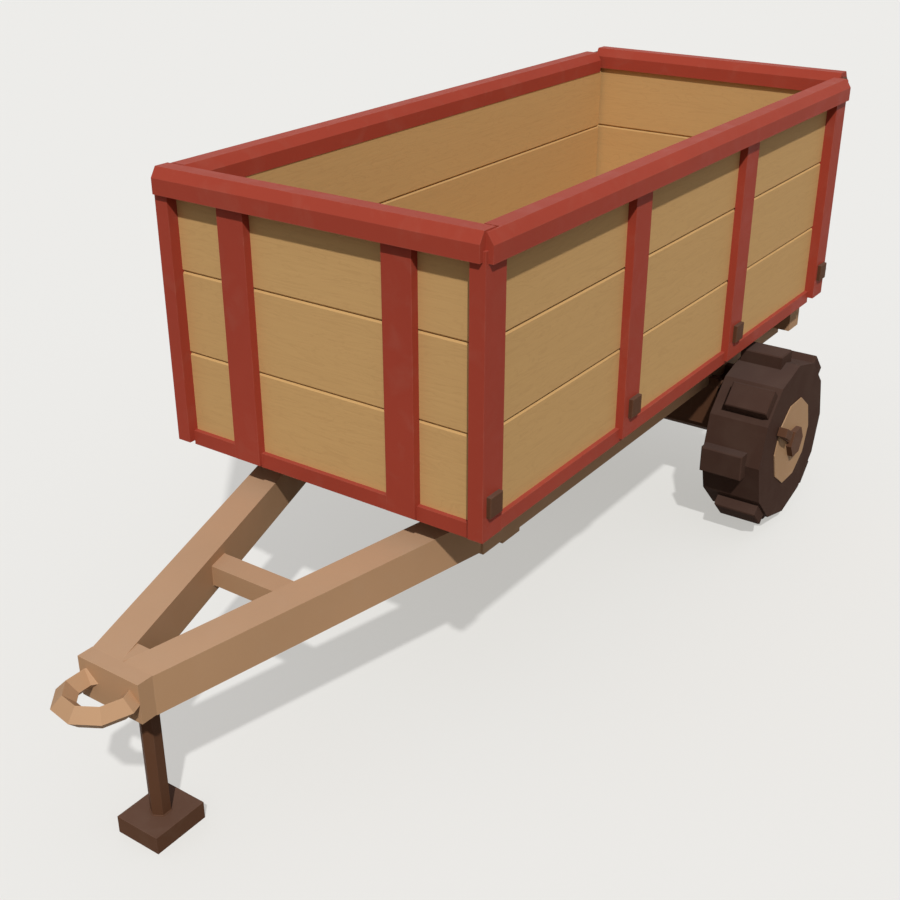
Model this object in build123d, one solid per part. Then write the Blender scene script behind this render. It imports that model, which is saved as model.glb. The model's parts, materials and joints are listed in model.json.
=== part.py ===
"""Single-axle farm tipping trailer with planked sides, standing on its drawbar jack."""
import os
from math import atan, cos, degrees, hypot, pi, radians, sqrt, tan

from build123d import *

os.makedirs("parts", exist_ok=True)

# Millimetres. X runs forward to the towing eye, Y to the left side, Z up from the ground.
# Lengthwise places below are distances ahead of the front wall's face, so those behind it are negative.

# Tipping body
BODY_LENGTH = 3200.0
BODY_WIDTH = 1460.0
BODY_BOTTOM = 946.0
WALL_TOP = 1946.0
PLANK_ROWS = 3
PLANK_THICKNESS = 44.0
PLANK_RECESS = 47.0
PLANK_BEVEL = 8.0
PLANK_GAP = 3.0
PLANK_SEAT = 960.0
PLANK_COVER = 30.0
DECK_BOARDS = 9
DECK_GAP = 0.6
DECK_THICKNESS = 41.0
JOIST_FRONT_PLACE = -350.0
JOIST_AHEAD_OF_RAM_FOOT = 400.0
JOIST_AHEAD_OF_TIP_PINS = 570.0
JOIST_WIDTH = 50.0
JOIST_HEIGHT = 40.0
CORNER_POST_LENGTH = 121.0
CORNER_POST_WIDTH = 62.0
CORNER_POST_UPSTAND = 36.0
STAKE_WIDTH = 125.0
STAKE_RECESS = 12.0
FRONT_STAKE_BOTTOM = 940.0
SIDE_STAKE_BOTTOM = 936.0
SIDE_STAKE_SPACING = 1013.0
FRONT_STAKE_SPACING = 740.0
SILL_PROUD = 20.0
SILL_HEIGHT = 59.0
FRONT_SILL_BOTTOM = 930.0
SIDE_SILL_BOTTOM = 920.5

# Top rails, with a bevel on both top edges
RAIL_WIDTH = 113.0
RAIL_HEIGHT = 100.0
RAIL_OVERHANG = 19.0
RAIL_BEVEL_WIDTH = 25.0
RAIL_BEVEL_DEPTH = 39.0
FRONT_RAIL_SETBACK = 11.0
SIDE_RAIL_SETBACK = 15.0
SIDE_RAIL_DROP = 6.0

# Rope cleats
CLEAT_LENGTH = 76.0
CLEAT_HEIGHT = 80.0
CLEAT_DEPTH = 18.0
CLEAT_BEVEL = 2.0
POST_CLEAT_RISE = 91.0
STAKE_CLEAT_RISE = 72.0
STAKE_CLEAT_SETBACK = 15.0

# Tailgate, hung from pins at the ends of its top rail
TAILGATE_WIDTH = 1360.0
TAILGATE_GAP = 8.0
TAILGATE_RISE = 11.0
TAILGATE_UPRIGHT = 40.0
TAILGATE_PLANK_SETBACK = 19.0
TAILGATE_STAKE_DEPTH = 34.0
TAILGATE_SILL_DEPTH = 28.0
HINGE_PIN_RADIUS = 12.0
HINGE_PLATE = 12.0
HINGE_PLATE_HEIGHT = 232.0
HINGE_PLATE_CLEARANCE = 5.0
HINGE_PLATE_EDGE = 28.0
HINGE_PLATE_FOOT = 30.0
HINGE_PLATE_SHOULDER = 40.0
HINGE_PIN_END = 4.0
BORE_CLEARANCE = 0.1

# Body subframe and its tipping hinge
BEARER_WIDTH = 60.0
BEARER_CENTRE = 470.0
BEARER_FRONT = -150.0
BEARER_TAIL = 70.0
TIP_AXIS_SETBACK = 80.0
TIP_PIN_RADIUS = 20.0
BRACKET_PLATE = 12.0
BRACKET_CLEARANCE = 3.0
BRACKET_RADIUS = 34.0
TIP_PIN_END = 5.0
SUBFRAME_GAP = 0.5

# Chassis
CHASSIS_OUTER = 522.0
CHASSIS_BOTTOM = 676.0
CHASSIS_TOP = 864.0
CHASSIS_FLANGE = 80.0
CHASSIS_WALL = 8.0
CHASSIS_FRONT = -323.0
CHASSIS_TAIL_SETBACK = 38.0
CROSS_MEMBER_WIDTH = 124.0
FRONT_MEMBER_PLACE = -571.0
FRONT_MEMBER_HALF = 490.0
FRONT_MEMBER_HEIGHT = 50.0
REAR_MEMBER_HALF = 624.0
REAR_MEMBER_HEIGHT = 64.0
REAR_MEMBER_BOTTOM = 742.0
REAR_MEMBER_END_HEIGHT = 122.0

# Drawbar
BLOCK_FRONT = 1056.0
BLOCK_THICKNESS = 63.0
BLOCK_HALF = 140.0
BLOCK_BOTTOM = 590.0
BLOCK_TOP = 742.0
BLOCK_TONGUE_BACK = 896.0
BLOCK_TONGUE_BOTTOM = 668.0
BEAM_WIDTH = 130.0
BEAM_DEPTH = 153.0
BEAM_SPREAD = 0.2866
BEAM_TOP_AT_BLOCK = 740.0
BEAM_TOP_AT_REAR = 855.3
BEAM_REAR = -505.0
CROSS_BAR_FRONT = 409.0
CROSS_BAR_LENGTH = 93.0
CROSS_BAR_BOTTOM = 669.0
CROSS_BAR_TOP = 748.0
EYE_RADIUS = 113.6
EYE_BAR_RADIUS = 41.6
EYE_REACH = 42.0
EYE_SIDES = 9
EYE_TURN = 10.9

# Parking jack
JACK_PLACE = 913.0
JACK_LEG_RADIUS = 38.0
JACK_FOOT_LENGTH = 224.0
JACK_FOOT_WIDTH = 193.0
JACK_FOOT_THICKNESS = 69.0
JACK_TONGUE_HALF = 16.0
JACK_TONGUE_RADIUS = 26.0
JACK_PIN_HEIGHT = 632.0
JACK_PIN_RADIUS = 11.0
JACK_TOP_GAP = 3.0

# Wheels and axle
AXLE_PLACE = -2435.0
WHEEL_CENTRE = 785.0
TYRE_WIDTH = 290.0
TYRE_RADIUS = 394.0
TYRE_SIDES = 12
LUG_COUNT = 8
LUG_RADIUS = 440.0
LUG_LENGTH = 208.0
LUG_WIDTH = 125.0
LUG_STAGGER = 29.0
LUG_BEVEL = 5.0
LUG_ROOT = 8.0
RIM_RADIUS = 216.0
RIM_LIP = 11.0
RIM_SIDES = 10
RIM_PROUD = 5.0
RIM_WALL = 12.0
RIM_DISC = 25.0
RIM_BARREL_RADIUS = 85.0
RIM_BARREL_SETBACK = 40.0
CAP_RADIUS = 76.0
CAP_THICKNESS = 27.0
HUB_BAR_LENGTH = 248.0
HUB_BAR_WIDTH = 43.0
HUB_BAR_DEPTH = 13.0
HUB_BAR_END = 86.0
HUB_BAR_END_DEPTH = 44.0
HUB_BAR_ANGLE = 32.0
AXLE_SECTION = 100.0
AXLE_BEVEL = 25.0
AXLE_HALF = 600.0
STUB_RADIUS = 40.0
STUB_CLEARANCE = 0.1
STUB_END_GAP = 5.0
AXLE_BRACKET_LENGTH = 230.0
AXLE_BRACKET_OUT = 50.0
AXLE_BRACKET_BOTTOM = 464.0
AXLE_LUG_LENGTH = 40.0
AXLE_LUG_RISE = 40.0
BOLSTER_PLATE = 12.0

# Tipping ram, shown closed under the lowered body
RAM_FOOT_PLACE = -1850.0
RAM_FOOT_HEIGHT = 700.0
RAM_HEAD_PLACE = -700.0
RAM_HEAD_HEIGHT = 895.0
RAM_BARREL_RADIUS = 52.0
RAM_ROD_SHOWN = 124.4
RAM_BARREL_END = 30.0
RAM_ROD_RADIUS = 30.0
RAM_ROD_CLEARANCE = 0.1
RAM_ROD_END_GAP = 4.0
RAM_NECK = 42.0
RAM_EYE_RADIUS = 36.0
RAM_EYE_WIDTH = 50.0
RAM_PIN_RADIUS = 16.0
RAM_MEMBER_WIDTH = 90.0
RAM_MEMBER_HEIGHT = 110.0
RAM_MEMBER_SETBACK = 75.0
RAM_PLATE = 14.0
RAM_BOSS_RADIUS = 32.0
RAM_HEAD_PLATE_LENGTH = 60.0
RAM_PIN_END = 4.0
RAM_PIN_HEAD = 8.0

# Places worked out from the sizes above
HALF = BODY_WIDTH / 2
RAIL_OUT = HALF + RAIL_OVERHANG
RAIL_IN = RAIL_OUT - RAIL_WIDTH
PLANK_OUT = HALF - PLANK_RECESS
PLANK_IN = PLANK_OUT - PLANK_THICKNESS
POST_IN = HALF - CORNER_POST_WIDTH
STAKE_OUT = HALF - STAKE_RECESS
SILL_OUT = PLANK_OUT + SILL_PROUD
DECK_TOP = BODY_BOTTOM + DECK_THICKNESS
SIDE_WALL_TOP = WALL_TOP - SIDE_RAIL_DROP
GATE_HALF = TAILGATE_WIDTH / 2
GATE_FRONT = -BODY_LENGTH - TAILGATE_GAP
GATE_BACK = GATE_FRONT - RAIL_WIDTH
GATE_PLANK_BACK = GATE_FRONT - TAILGATE_PLANK_SETBACK - PLANK_THICKNESS
GATE_RAIL_BOTTOM = WALL_TOP + TAILGATE_RISE
GATE_AXIS_X = GATE_FRONT - RAIL_WIDTH / 2
GATE_AXIS_Z = GATE_RAIL_BOTTOM + RAIL_HEIGHT / 2
TIP_X = -BODY_LENGTH + TIP_AXIS_SETBACK
BEARER_BOTTOM = CHASSIS_TOP + SUBFRAME_GAP
TIP_Z = (BEARER_BOTTOM + BODY_BOTTOM) / 2
RAM_JOIST = RAM_FOOT_PLACE + JOIST_AHEAD_OF_RAM_FOOT
REAR_JOIST = TIP_X + JOIST_AHEAD_OF_TIP_PINS
JOIST_PLACES = (JOIST_FRONT_PLACE, RAM_JOIST, (RAM_JOIST + REAR_JOIST) / 2, REAR_JOIST)
CHASSIS_REAR = TIP_X + CHASSIS_TAIL_SETBACK
BLOCK_BACK = BLOCK_FRONT - BLOCK_THICKNESS
EYE_X = BLOCK_FRONT + EYE_REACH
EYE_Z = (BLOCK_BOTTOM + BLOCK_TOP) / 2
NOSE = EYE_X + (EYE_RADIUS + EYE_BAR_RADIUS) * cos(radians(EYE_TURN))
BEAM_ACROSS = BEAM_WIDTH * sqrt(1 + BEAM_SPREAD**2)
FRONT_X = (NOSE - GATE_BACK) / 2 - NOSE
AXLE_Z = LUG_RADIUS
TYRE_IN = WHEEL_CENTRE - TYRE_WIDTH / 2
TYRE_OUT = WHEEL_CENTRE + TYRE_WIDTH / 2
RIM_OUT = TYRE_OUT + RIM_PROUD
RAM_ANGLE = degrees(atan((RAM_HEAD_HEIGHT - RAM_FOOT_HEIGHT) / (RAM_HEAD_PLACE - RAM_FOOT_PLACE)))
RAM_CLOSED = hypot(RAM_HEAD_PLACE - RAM_FOOT_PLACE, RAM_HEAD_HEIGHT - RAM_FOOT_HEIGHT)
RAM_BARREL_LENGTH = RAM_CLOSED - RAM_NECK - RAM_ROD_SHOWN


def block(x0, x1, y0, y1, z0, z1):
    """Box between two corners, in trailer coordinates."""
    size = (abs(x1 - x0), abs(y1 - y0), abs(z1 - z0))
    return Pos((x0 + x1) / 2, (y0 + y1) / 2, (z0 + z1) / 2) * Box(*size)


def mirrored(shape):
    """The same piece on the right side."""
    return mirror(shape, about=Plane.XZ)


def both(shape):
    """A left piece and its twin on the right side."""
    return [shape, mirrored(shape)]


def save(name, *shapes):
    """Write one node, moved so that the trailer's length is centred on the origin."""
    placed = [Pos(FRONT_X, 0, 0) * solid for shape in shapes for solid in shape.solids()]
    body = placed[0] if len(placed) == 1 else Compound(children=placed)
    export_step(body, f"parts/{name}.step")


def cross_pin(radius, length, x, y, z):
    """Round bar across the trailer, centred on a point."""
    return Pos(x, y, z) * Rot(90, 0, 0) * Cylinder(radius, length)


# Top rails
def rail_profile(outer, inner, bottom):
    """Rail section as (across, up) points, outer edge first."""
    top = bottom + RAIL_HEIGHT
    step = RAIL_BEVEL_WIDTH if outer > inner else -RAIL_BEVEL_WIDTH
    shoulder = top - RAIL_BEVEL_DEPTH
    points = [(outer, bottom), (outer, shoulder), (outer - step, top)]
    points += [(inner + step, top), (inner, shoulder), (inner, bottom)]
    return points


def rail_along_y(outer, inner, bottom, half):
    """Rail across the body, its ends cut plain at each side."""
    face = Plane.XZ * Polyline(*rail_profile(outer, inner, bottom), close=True)
    return extrude(make_face(face), half, both=True)


def rail_along_x(outer, inner, bottom, front, rear):
    """Rail along the left side of the body."""
    face = Plane.YZ.offset(rear) * Polyline(*rail_profile(outer, inner, bottom), close=True)
    return extrude(make_face(face), front - rear)


def front_rail():
    return rail_along_y(RAIL_OVERHANG, RAIL_OVERHANG - RAIL_WIDTH, WALL_TOP, HALF - FRONT_RAIL_SETBACK)


def side_rail():
    """Left rail, coped around the front rail's end."""
    rear = -BODY_LENGTH + SIDE_RAIL_SETBACK
    rail = rail_along_x(RAIL_OUT, RAIL_IN, SIDE_WALL_TOP, -SIDE_RAIL_SETBACK, rear)
    lap = HALF - FRONT_RAIL_SETBACK
    return rail - block(0, RAIL_OVERHANG - RAIL_WIDTH, 0, lap, SIDE_WALL_TOP, WALL_TOP + RAIL_HEIGHT)


def rail_space():
    """What the rails fill at a left corner post."""
    rear = -BODY_LENGTH + SIDE_RAIL_SETBACK
    above = WALL_TOP + 2 * RAIL_HEIGHT
    front = block(RAIL_OVERHANG, -RAIL_WIDTH, 0, HALF - FRONT_RAIL_SETBACK, WALL_TOP, above)
    return front + block(-SIDE_RAIL_SETBACK, rear, 0, RAIL_OUT, SIDE_WALL_TOP, above)


# Body frame
def corner_post(front):
    """Left corner post, its top corner standing up where the rails leave it free."""
    top = WALL_TOP + CORNER_POST_UPSTAND
    return block(front, front - CORNER_POST_LENGTH, POST_IN, HALF, BODY_BOTTOM, top) - rail_space()


def side_stakes():
    """Two stakes on the left wall, standing in front of the planks."""
    stakes = []
    for side in (1, -1):
        x = -BODY_LENGTH / 2 + side * SIDE_STAKE_SPACING / 2
        half = STAKE_WIDTH / 2
        stake = block(x - half, x + half, PLANK_OUT, STAKE_OUT, SIDE_STAKE_BOTTOM, SIDE_WALL_TOP)
        stakes.append(stake)
    return stakes


def front_stakes():
    stakes = []
    for side in (1, -1):
        y = side * FRONT_STAKE_SPACING / 2
        half = STAKE_WIDTH / 2
        low, high = FRONT_STAKE_BOTTOM, WALL_TOP
        stakes.append(block(-STAKE_RECESS, -PLANK_RECESS, y - half, y + half, low, high))
    return stakes


def floor_frame():
    """Sills between the posts, with a ledge inside them that carries the planks."""
    x_in = -PLANK_RECESS - PLANK_THICKNESS
    post = -CORNER_POST_LENGTH
    tail = -BODY_LENGTH
    frame = block(-PLANK_RECESS, x_in, -POST_IN, POST_IN, BODY_BOTTOM, PLANK_SEAT)
    low, high = FRONT_SILL_BOTTOM, FRONT_SILL_BOTTOM + SILL_HEIGHT
    frame += block(SILL_PROUD - PLANK_RECESS, -PLANK_RECESS, -POST_IN, POST_IN, low, high)
    frame += block(tail, tail - x_in, -PLANK_IN, PLANK_IN, BODY_BOTTOM, DECK_TOP)
    side = block(x_in, tail, PLANK_IN, POST_IN, BODY_BOTTOM, PLANK_SEAT)
    side += block(post, tail - post, PLANK_IN, PLANK_OUT, BODY_BOTTOM, PLANK_SEAT)
    low, high = SIDE_SILL_BOTTOM, SIDE_SILL_BOTTOM + SILL_HEIGHT
    side += block(post, tail - post, PLANK_OUT, SILL_OUT, low, high)
    frame += side
    frame += mirrored(side)
    for stake in front_stakes():
        frame -= stake
    for stake in side_stakes():
        frame -= stake
        frame -= mirrored(stake)
    return frame


def deck():
    """Boards running lengthwise, with a hair of room between them."""
    x_in = -PLANK_RECESS - PLANK_THICKNESS
    pitch = 2 * PLANK_IN / DECK_BOARDS
    boards = []
    for index in range(DECK_BOARDS):
        low = -PLANK_IN + index * pitch
        high = low + pitch - (DECK_GAP if index < DECK_BOARDS - 1 else 0)
        boards.append(block(x_in, -BODY_LENGTH - x_in, low, high, BODY_BOTTOM, DECK_TOP))
    return boards


# Planks
def plank_heights(top):
    """Bottom and top of each plank; the upper rail covers the last one's edge."""
    pitch = (WALL_TOP + PLANK_COVER - DECK_TOP) / PLANK_ROWS
    rows = []
    for row in range(PLANK_ROWS):
        low = DECK_TOP + row * pitch
        high = min(low + pitch - PLANK_GAP, top)
        rows.append((low if row else PLANK_SEAT, high))
    return rows


def seams(faces, plane):
    """V grooves along the joints between planks, cut into each (face, way in) of the wall."""
    cuts = []
    for low, _ in plank_heights(WALL_TOP)[1:]:
        middle = low - PLANK_GAP / 2
        for face, way in faces:
            points = [
                (face - way * PLANK_BEVEL, middle - 2 * PLANK_BEVEL),
                (face + way * PLANK_BEVEL, middle),
                (face - way * PLANK_BEVEL, middle + 2 * PLANK_BEVEL),
            ]
            cuts.append(extrude(make_face(plane * Polyline(*points, close=True)), BODY_LENGTH * 2, both=True))
    return cuts


def side_planks():
    """Left wall; each plank is full thickness between the posts and laps behind them."""
    planks = []
    front = -PLANK_RECESS - PLANK_THICKNESS
    grooves = seams(((PLANK_OUT, -1), (PLANK_IN, 1)), Plane.YZ)
    for low, high in plank_heights(SIDE_WALL_TOP):
        lap = block(front, -BODY_LENGTH, PLANK_IN, POST_IN, low, high)
        post = CORNER_POST_LENGTH
        plank = lap + block(-post, post - BODY_LENGTH, PLANK_IN, PLANK_OUT, low, high)
        planks.append(plank - grooves)
    return planks


def front_planks():
    planks = []
    outer = -PLANK_RECESS
    inner = outer - PLANK_THICKNESS
    grooves = seams(((outer, -1), (inner, 1)), Plane.XZ)
    for low, high in plank_heights(WALL_TOP):
        planks.append(block(outer, inner, -POST_IN, POST_IN, low, high) - grooves)
    return planks


# Cleats
def cleats():
    """One rope cleat low on each left post."""
    half = CLEAT_LENGTH / 2
    on_post = BODY_BOTTOM + POST_CLEAT_RISE
    on_stake = BODY_BOTTOM + STAKE_CLEAT_RISE
    middle = -BODY_LENGTH / 2 - STAKE_CLEAT_SETBACK
    pieces = []
    spots = [
        (-CORNER_POST_LENGTH / 2, HALF, on_post),
        (middle + SIDE_STAKE_SPACING / 2, STAKE_OUT, on_stake),
        (middle - SIDE_STAKE_SPACING / 2, STAKE_OUT, on_stake),
        (CORNER_POST_LENGTH / 2 - BODY_LENGTH, HALF, on_post),
    ]
    for x, face, low in spots:
        cleat = block(x - half, x + half, face, face + CLEAT_DEPTH, low, low + CLEAT_HEIGHT)
        outer = cleat.faces().sort_by(Axis.Y)[-1]
        pieces.append(chamfer(outer.edges(), CLEAT_BEVEL))
    return pieces


# Tailgate
def tailgate_rail():
    rail = rail_along_y(GATE_FRONT, GATE_BACK, GATE_RAIL_BOTTOM, GATE_HALF)
    reach = HINGE_PLATE_CLEARANCE + HINGE_PLATE + HINGE_PIN_END
    pin = cross_pin(HINGE_PIN_RADIUS, reach, GATE_AXIS_X, GATE_HALF + reach / 2, GATE_AXIS_Z)
    return rail + pin + mirrored(pin)


def tailgate_upright():
    inner = GATE_HALF - TAILGATE_UPRIGHT
    back = GATE_PLANK_BACK - TAILGATE_STAKE_DEPTH
    return block(GATE_PLANK_BACK, back, inner, GATE_HALF, BODY_BOTTOM, GATE_RAIL_BOTTOM)


def tailgate_planks():
    front = GATE_FRONT - TAILGATE_PLANK_SETBACK
    grooves = seams(((front, -1), (GATE_PLANK_BACK, 1)), Plane.XZ)
    planks = []
    for low, high in plank_heights(GATE_RAIL_BOTTOM):
        planks.append(block(front, GATE_PLANK_BACK, -GATE_HALF, GATE_HALF, low, high) - grooves)
    return planks


def tailgate_stakes():
    back = GATE_PLANK_BACK - TAILGATE_STAKE_DEPTH
    half = STAKE_WIDTH / 2
    stakes = []
    for side in (1, -1):
        y = side * FRONT_STAKE_SPACING / 2
        stakes.append(block(GATE_PLANK_BACK, back, y - half, y + half, BODY_BOTTOM, GATE_RAIL_BOTTOM))
    return stakes


def tailgate_sill():
    half = GATE_HALF - TAILGATE_UPRIGHT
    back = GATE_PLANK_BACK - TAILGATE_SILL_DEPTH
    sill = block(GATE_PLANK_BACK, back, -half, half, BODY_BOTTOM, BODY_BOTTOM + SILL_HEIGHT)
    for stake in tailgate_stakes():
        sill -= stake
    return sill


def hinge_plate():
    """Left plate on the rear post that takes the tailgate's pin."""
    inner = GATE_HALF + HINGE_PLATE_CLEARANCE
    bottom = GATE_AXIS_Z - HINGE_PLATE_HEIGHT
    back = GATE_AXIS_X - HINGE_PLATE_EDGE
    outline = Polyline(
        (-BODY_LENGTH, bottom),
        (-BODY_LENGTH, GATE_AXIS_Z + HINGE_PLATE_EDGE),
        (GATE_AXIS_X, GATE_AXIS_Z + HINGE_PLATE_EDGE),
        (back, GATE_AXIS_Z),
        (back, GATE_AXIS_Z - HINGE_PLATE_SHOULDER),
        (-BODY_LENGTH - HINGE_PLATE_FOOT, bottom),
        close=True,
    )
    plate = extrude(make_face(Plane.XZ.offset(-inner) * outline), -HINGE_PLATE)
    hole = HINGE_PIN_RADIUS + BORE_CLEARANCE
    return plate - cross_pin(hole, 4 * HINGE_PLATE, GATE_AXIS_X, inner, GATE_AXIS_Z)


# Subframe and tipping hinge
def bearer():
    inner = BEARER_CENTRE - BEARER_WIDTH / 2
    outer = BEARER_CENTRE + BEARER_WIDTH / 2
    beam = block(BEARER_FRONT, TIP_X - BEARER_TAIL, inner, outer, BEARER_BOTTOM, BODY_BOTTOM)
    hole = TIP_PIN_RADIUS + BORE_CLEARANCE
    return beam - cross_pin(hole, 2 * BEARER_WIDTH, TIP_X, BEARER_CENTRE, TIP_Z)


def floor_joists():
    """Bars across under the deck from sill to sill, cut through by the bearers."""
    pieces = []
    inner, outer = BEARER_CENTRE - BEARER_WIDTH / 2, BEARER_CENTRE + BEARER_WIDTH / 2
    beam = block(0, -BODY_LENGTH, inner, outer, 0, WALL_TOP)
    for place in JOIST_PLACES:
        front, rear = place + JOIST_WIDTH / 2, place - JOIST_WIDTH / 2
        joist = block(front, rear, -PLANK_OUT, PLANK_OUT, BODY_BOTTOM - JOIST_HEIGHT, BODY_BOTTOM)
        pieces.append(joist - beam - mirrored(beam))
    return pieces


def tip_brackets():
    """Two plates beside each bearer, standing on the rear cross-member."""
    plates = []
    foot = REAR_MEMBER_BOTTOM + REAR_MEMBER_HEIGHT
    radius = BRACKET_RADIUS
    for side in (1, -1):
        near = BEARER_CENTRE + side * (BEARER_WIDTH / 2 + BRACKET_CLEARANCE)
        far = near + side * BRACKET_PLATE
        plate = block(TIP_X - radius, TIP_X + radius, near, far, foot, TIP_Z)
        plate += cross_pin(radius, BRACKET_PLATE, TIP_X, (near + far) / 2, TIP_Z)
        plates.append(plate - cross_pin(TIP_PIN_RADIUS, 4 * BRACKET_PLATE, TIP_X, near, TIP_Z))
    return plates


def tip_pin():
    reach = BEARER_WIDTH + 2 * (BRACKET_CLEARANCE + BRACKET_PLATE + TIP_PIN_END)
    return cross_pin(TIP_PIN_RADIUS, reach, TIP_X, BEARER_CENTRE, TIP_Z)


# Chassis
def chassis_rail():
    """Left channel, open inward, its lower part running on under the rear cross-member."""
    inner = CHASSIS_OUTER - CHASSIS_FLANGE
    rear = CHASSIS_REAR - CROSS_MEMBER_WIDTH
    rail = block(CHASSIS_FRONT, CHASSIS_REAR, inner, CHASSIS_OUTER, CHASSIS_BOTTOM, CHASSIS_TOP)
    rail += block(CHASSIS_REAR, rear, inner, CHASSIS_OUTER, CHASSIS_BOTTOM, REAR_MEMBER_BOTTOM)
    web = CHASSIS_OUTER - CHASSIS_WALL
    low = CHASSIS_BOTTOM + CHASSIS_WALL
    high = CHASSIS_TOP - CHASSIS_WALL
    rail -= block(CHASSIS_FRONT, CHASSIS_REAR, inner, web, low, high)
    return rail - block(CHASSIS_REAR, rear, inner, web, low, REAR_MEMBER_BOTTOM)


def front_member():
    front = FRONT_MEMBER_PLACE + CROSS_MEMBER_WIDTH / 2
    rear = FRONT_MEMBER_PLACE - CROSS_MEMBER_WIDTH / 2
    half = FRONT_MEMBER_HALF
    return block(front, rear, -half, half, CHASSIS_BOTTOM - FRONT_MEMBER_HEIGHT, CHASSIS_BOTTOM)


def rear_member():
    """Cross-member with raised ends that back the outer tipping brackets."""
    rear = CHASSIS_REAR - CROSS_MEMBER_WIDTH
    half = REAR_MEMBER_HALF
    top = REAR_MEMBER_BOTTOM + REAR_MEMBER_HEIGHT
    member = block(CHASSIS_REAR, rear, -half, half, REAR_MEMBER_BOTTOM, top)
    inner = BEARER_CENTRE + BEARER_WIDTH / 2 + BRACKET_CLEARANCE + BRACKET_PLATE
    end = block(CHASSIS_REAR, rear, inner, half, top, REAR_MEMBER_BOTTOM + REAR_MEMBER_END_HEIGHT)
    return member + end + mirrored(end)


def beam_outer(x):
    """How far out the left beam's outer face is at a place along the drawbar."""
    return BLOCK_HALF + BEAM_SPREAD * (BLOCK_BACK - x)


def beam_inner(x):
    return beam_outer(x) - BEAM_ACROSS


def drawbar_beam():
    """Left beam, spreading and rising to the rear, tucked into the chassis channel."""
    web = CHASSIS_OUTER - CHASSIS_WALL
    meet = BLOCK_BACK - (web - BLOCK_HALF) / BEAM_SPREAD
    plan = Polyline(
        (BLOCK_BACK, beam_outer(BLOCK_BACK)),
        (meet, web),
        (BEAM_REAR, web),
        (BEAM_REAR, beam_inner(BEAM_REAR)),
        (BLOCK_BACK, beam_inner(BLOCK_BACK)),
        close=True,
    )
    prism = extrude(make_face(plan), 2 * BODY_BOTTOM)
    side = Polyline(
        (BLOCK_BACK, BEAM_TOP_AT_BLOCK),
        (BEAM_REAR, BEAM_TOP_AT_REAR),
        (BEAM_REAR, BEAM_TOP_AT_REAR - BEAM_DEPTH),
        (BLOCK_BACK, BEAM_TOP_AT_BLOCK - BEAM_DEPTH),
        close=True,
    )
    return prism & extrude(make_face(Plane.XZ * side), BODY_WIDTH, both=True)


def cross_bar():
    """Bar between the drawbar beams, its ends cut to their slant."""
    rear = CROSS_BAR_FRONT - CROSS_BAR_LENGTH
    plan = Polyline(
        (CROSS_BAR_FRONT, beam_inner(CROSS_BAR_FRONT)),
        (rear, beam_inner(rear)),
        (rear, -beam_inner(rear)),
        (CROSS_BAR_FRONT, -beam_inner(CROSS_BAR_FRONT)),
        close=True,
    )
    return extrude(make_face(Plane.XY.offset(CROSS_BAR_BOTTOM) * plan), CROSS_BAR_TOP - CROSS_BAR_BOTTOM)


def coupling_block():
    """Block across the drawbar's nose, with a tongue back between the beams."""
    plan = Polyline(
        (BLOCK_BACK, beam_inner(BLOCK_BACK)),
        (BLOCK_TONGUE_BACK, beam_inner(BLOCK_TONGUE_BACK)),
        (BLOCK_TONGUE_BACK, -beam_inner(BLOCK_TONGUE_BACK)),
        (BLOCK_BACK, -beam_inner(BLOCK_BACK)),
        close=True,
    )
    face = make_face(Plane.XY.offset(BLOCK_TONGUE_BOTTOM) * plan)
    tongue = extrude(face, BLOCK_TOP - BLOCK_TONGUE_BOTTOM)
    nose = block(BLOCK_BACK, BLOCK_FRONT, -BLOCK_HALF, BLOCK_HALF, BLOCK_BOTTOM, BLOCK_TOP)
    return nose + tongue


def towing_eye():
    """Flat ring of straight lengths of square bar set on edge, welded to the block's face."""
    step = 360 / EYE_SIDES
    narrow = cos(radians(step / 2))
    bar = EYE_BAR_RADIUS
    section = Polyline(
        ((EYE_RADIUS + bar) * narrow, 0),
        (EYE_RADIUS * narrow, bar),
        ((EYE_RADIUS - bar) * narrow, 0),
        (EYE_RADIUS * narrow, -bar),
        close=True,
    )
    length = extrude(make_face(Plane.XZ * section), EYE_RADIUS, both=True)
    reach = 2 * EYE_RADIUS
    mitre = reach * tan(radians(step / 2))
    wedge = Polyline((0, 0), (reach, -mitre), (reach, mitre), close=True)
    length &= extrude(make_face(wedge), bar, both=True)
    ring = Rot(0, 0, EYE_TURN + step / 2) * length
    for index in range(1, EYE_SIDES):
        ring += Rot(0, 0, EYE_TURN + (index + 0.5) * step) * length
    half = EYE_RADIUS + bar
    behind = block(-EYE_REACH, -2 * half, -half, half, -bar, bar)
    return Pos(EYE_X, 0, EYE_Z) * (ring - behind)


def jack_foot():
    half_x = JACK_FOOT_LENGTH / 2
    half_y = JACK_FOOT_WIDTH / 2
    return block(JACK_PLACE - half_x, JACK_PLACE + half_x, -half_y, half_y, 0, JACK_FOOT_THICKNESS)


def jack_leg():
    """Hexagonal leg with a tongue pinned between the drawbar beams, on which it folds back."""
    top = BEAM_TOP_AT_BLOCK - BEAM_DEPTH - JACK_TOP_GAP
    hexagon = Pos(JACK_PLACE, 0, JACK_FOOT_THICKNESS) * RegularPolygon(JACK_LEG_RADIUS, 6)
    leg = extrude(hexagon, top - JACK_FOOT_THICKNESS)
    half = JACK_TONGUE_HALF
    radius = JACK_TONGUE_RADIUS
    leg += block(JACK_PLACE - radius, JACK_PLACE + radius, -half, half, top, JACK_PIN_HEIGHT)
    leg += cross_pin(radius, 2 * half, JACK_PLACE, 0, JACK_PIN_HEIGHT)
    return leg - cross_pin(JACK_PIN_RADIUS + BORE_CLEARANCE, 8 * half, JACK_PLACE, 0, JACK_PIN_HEIGHT)


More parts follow.
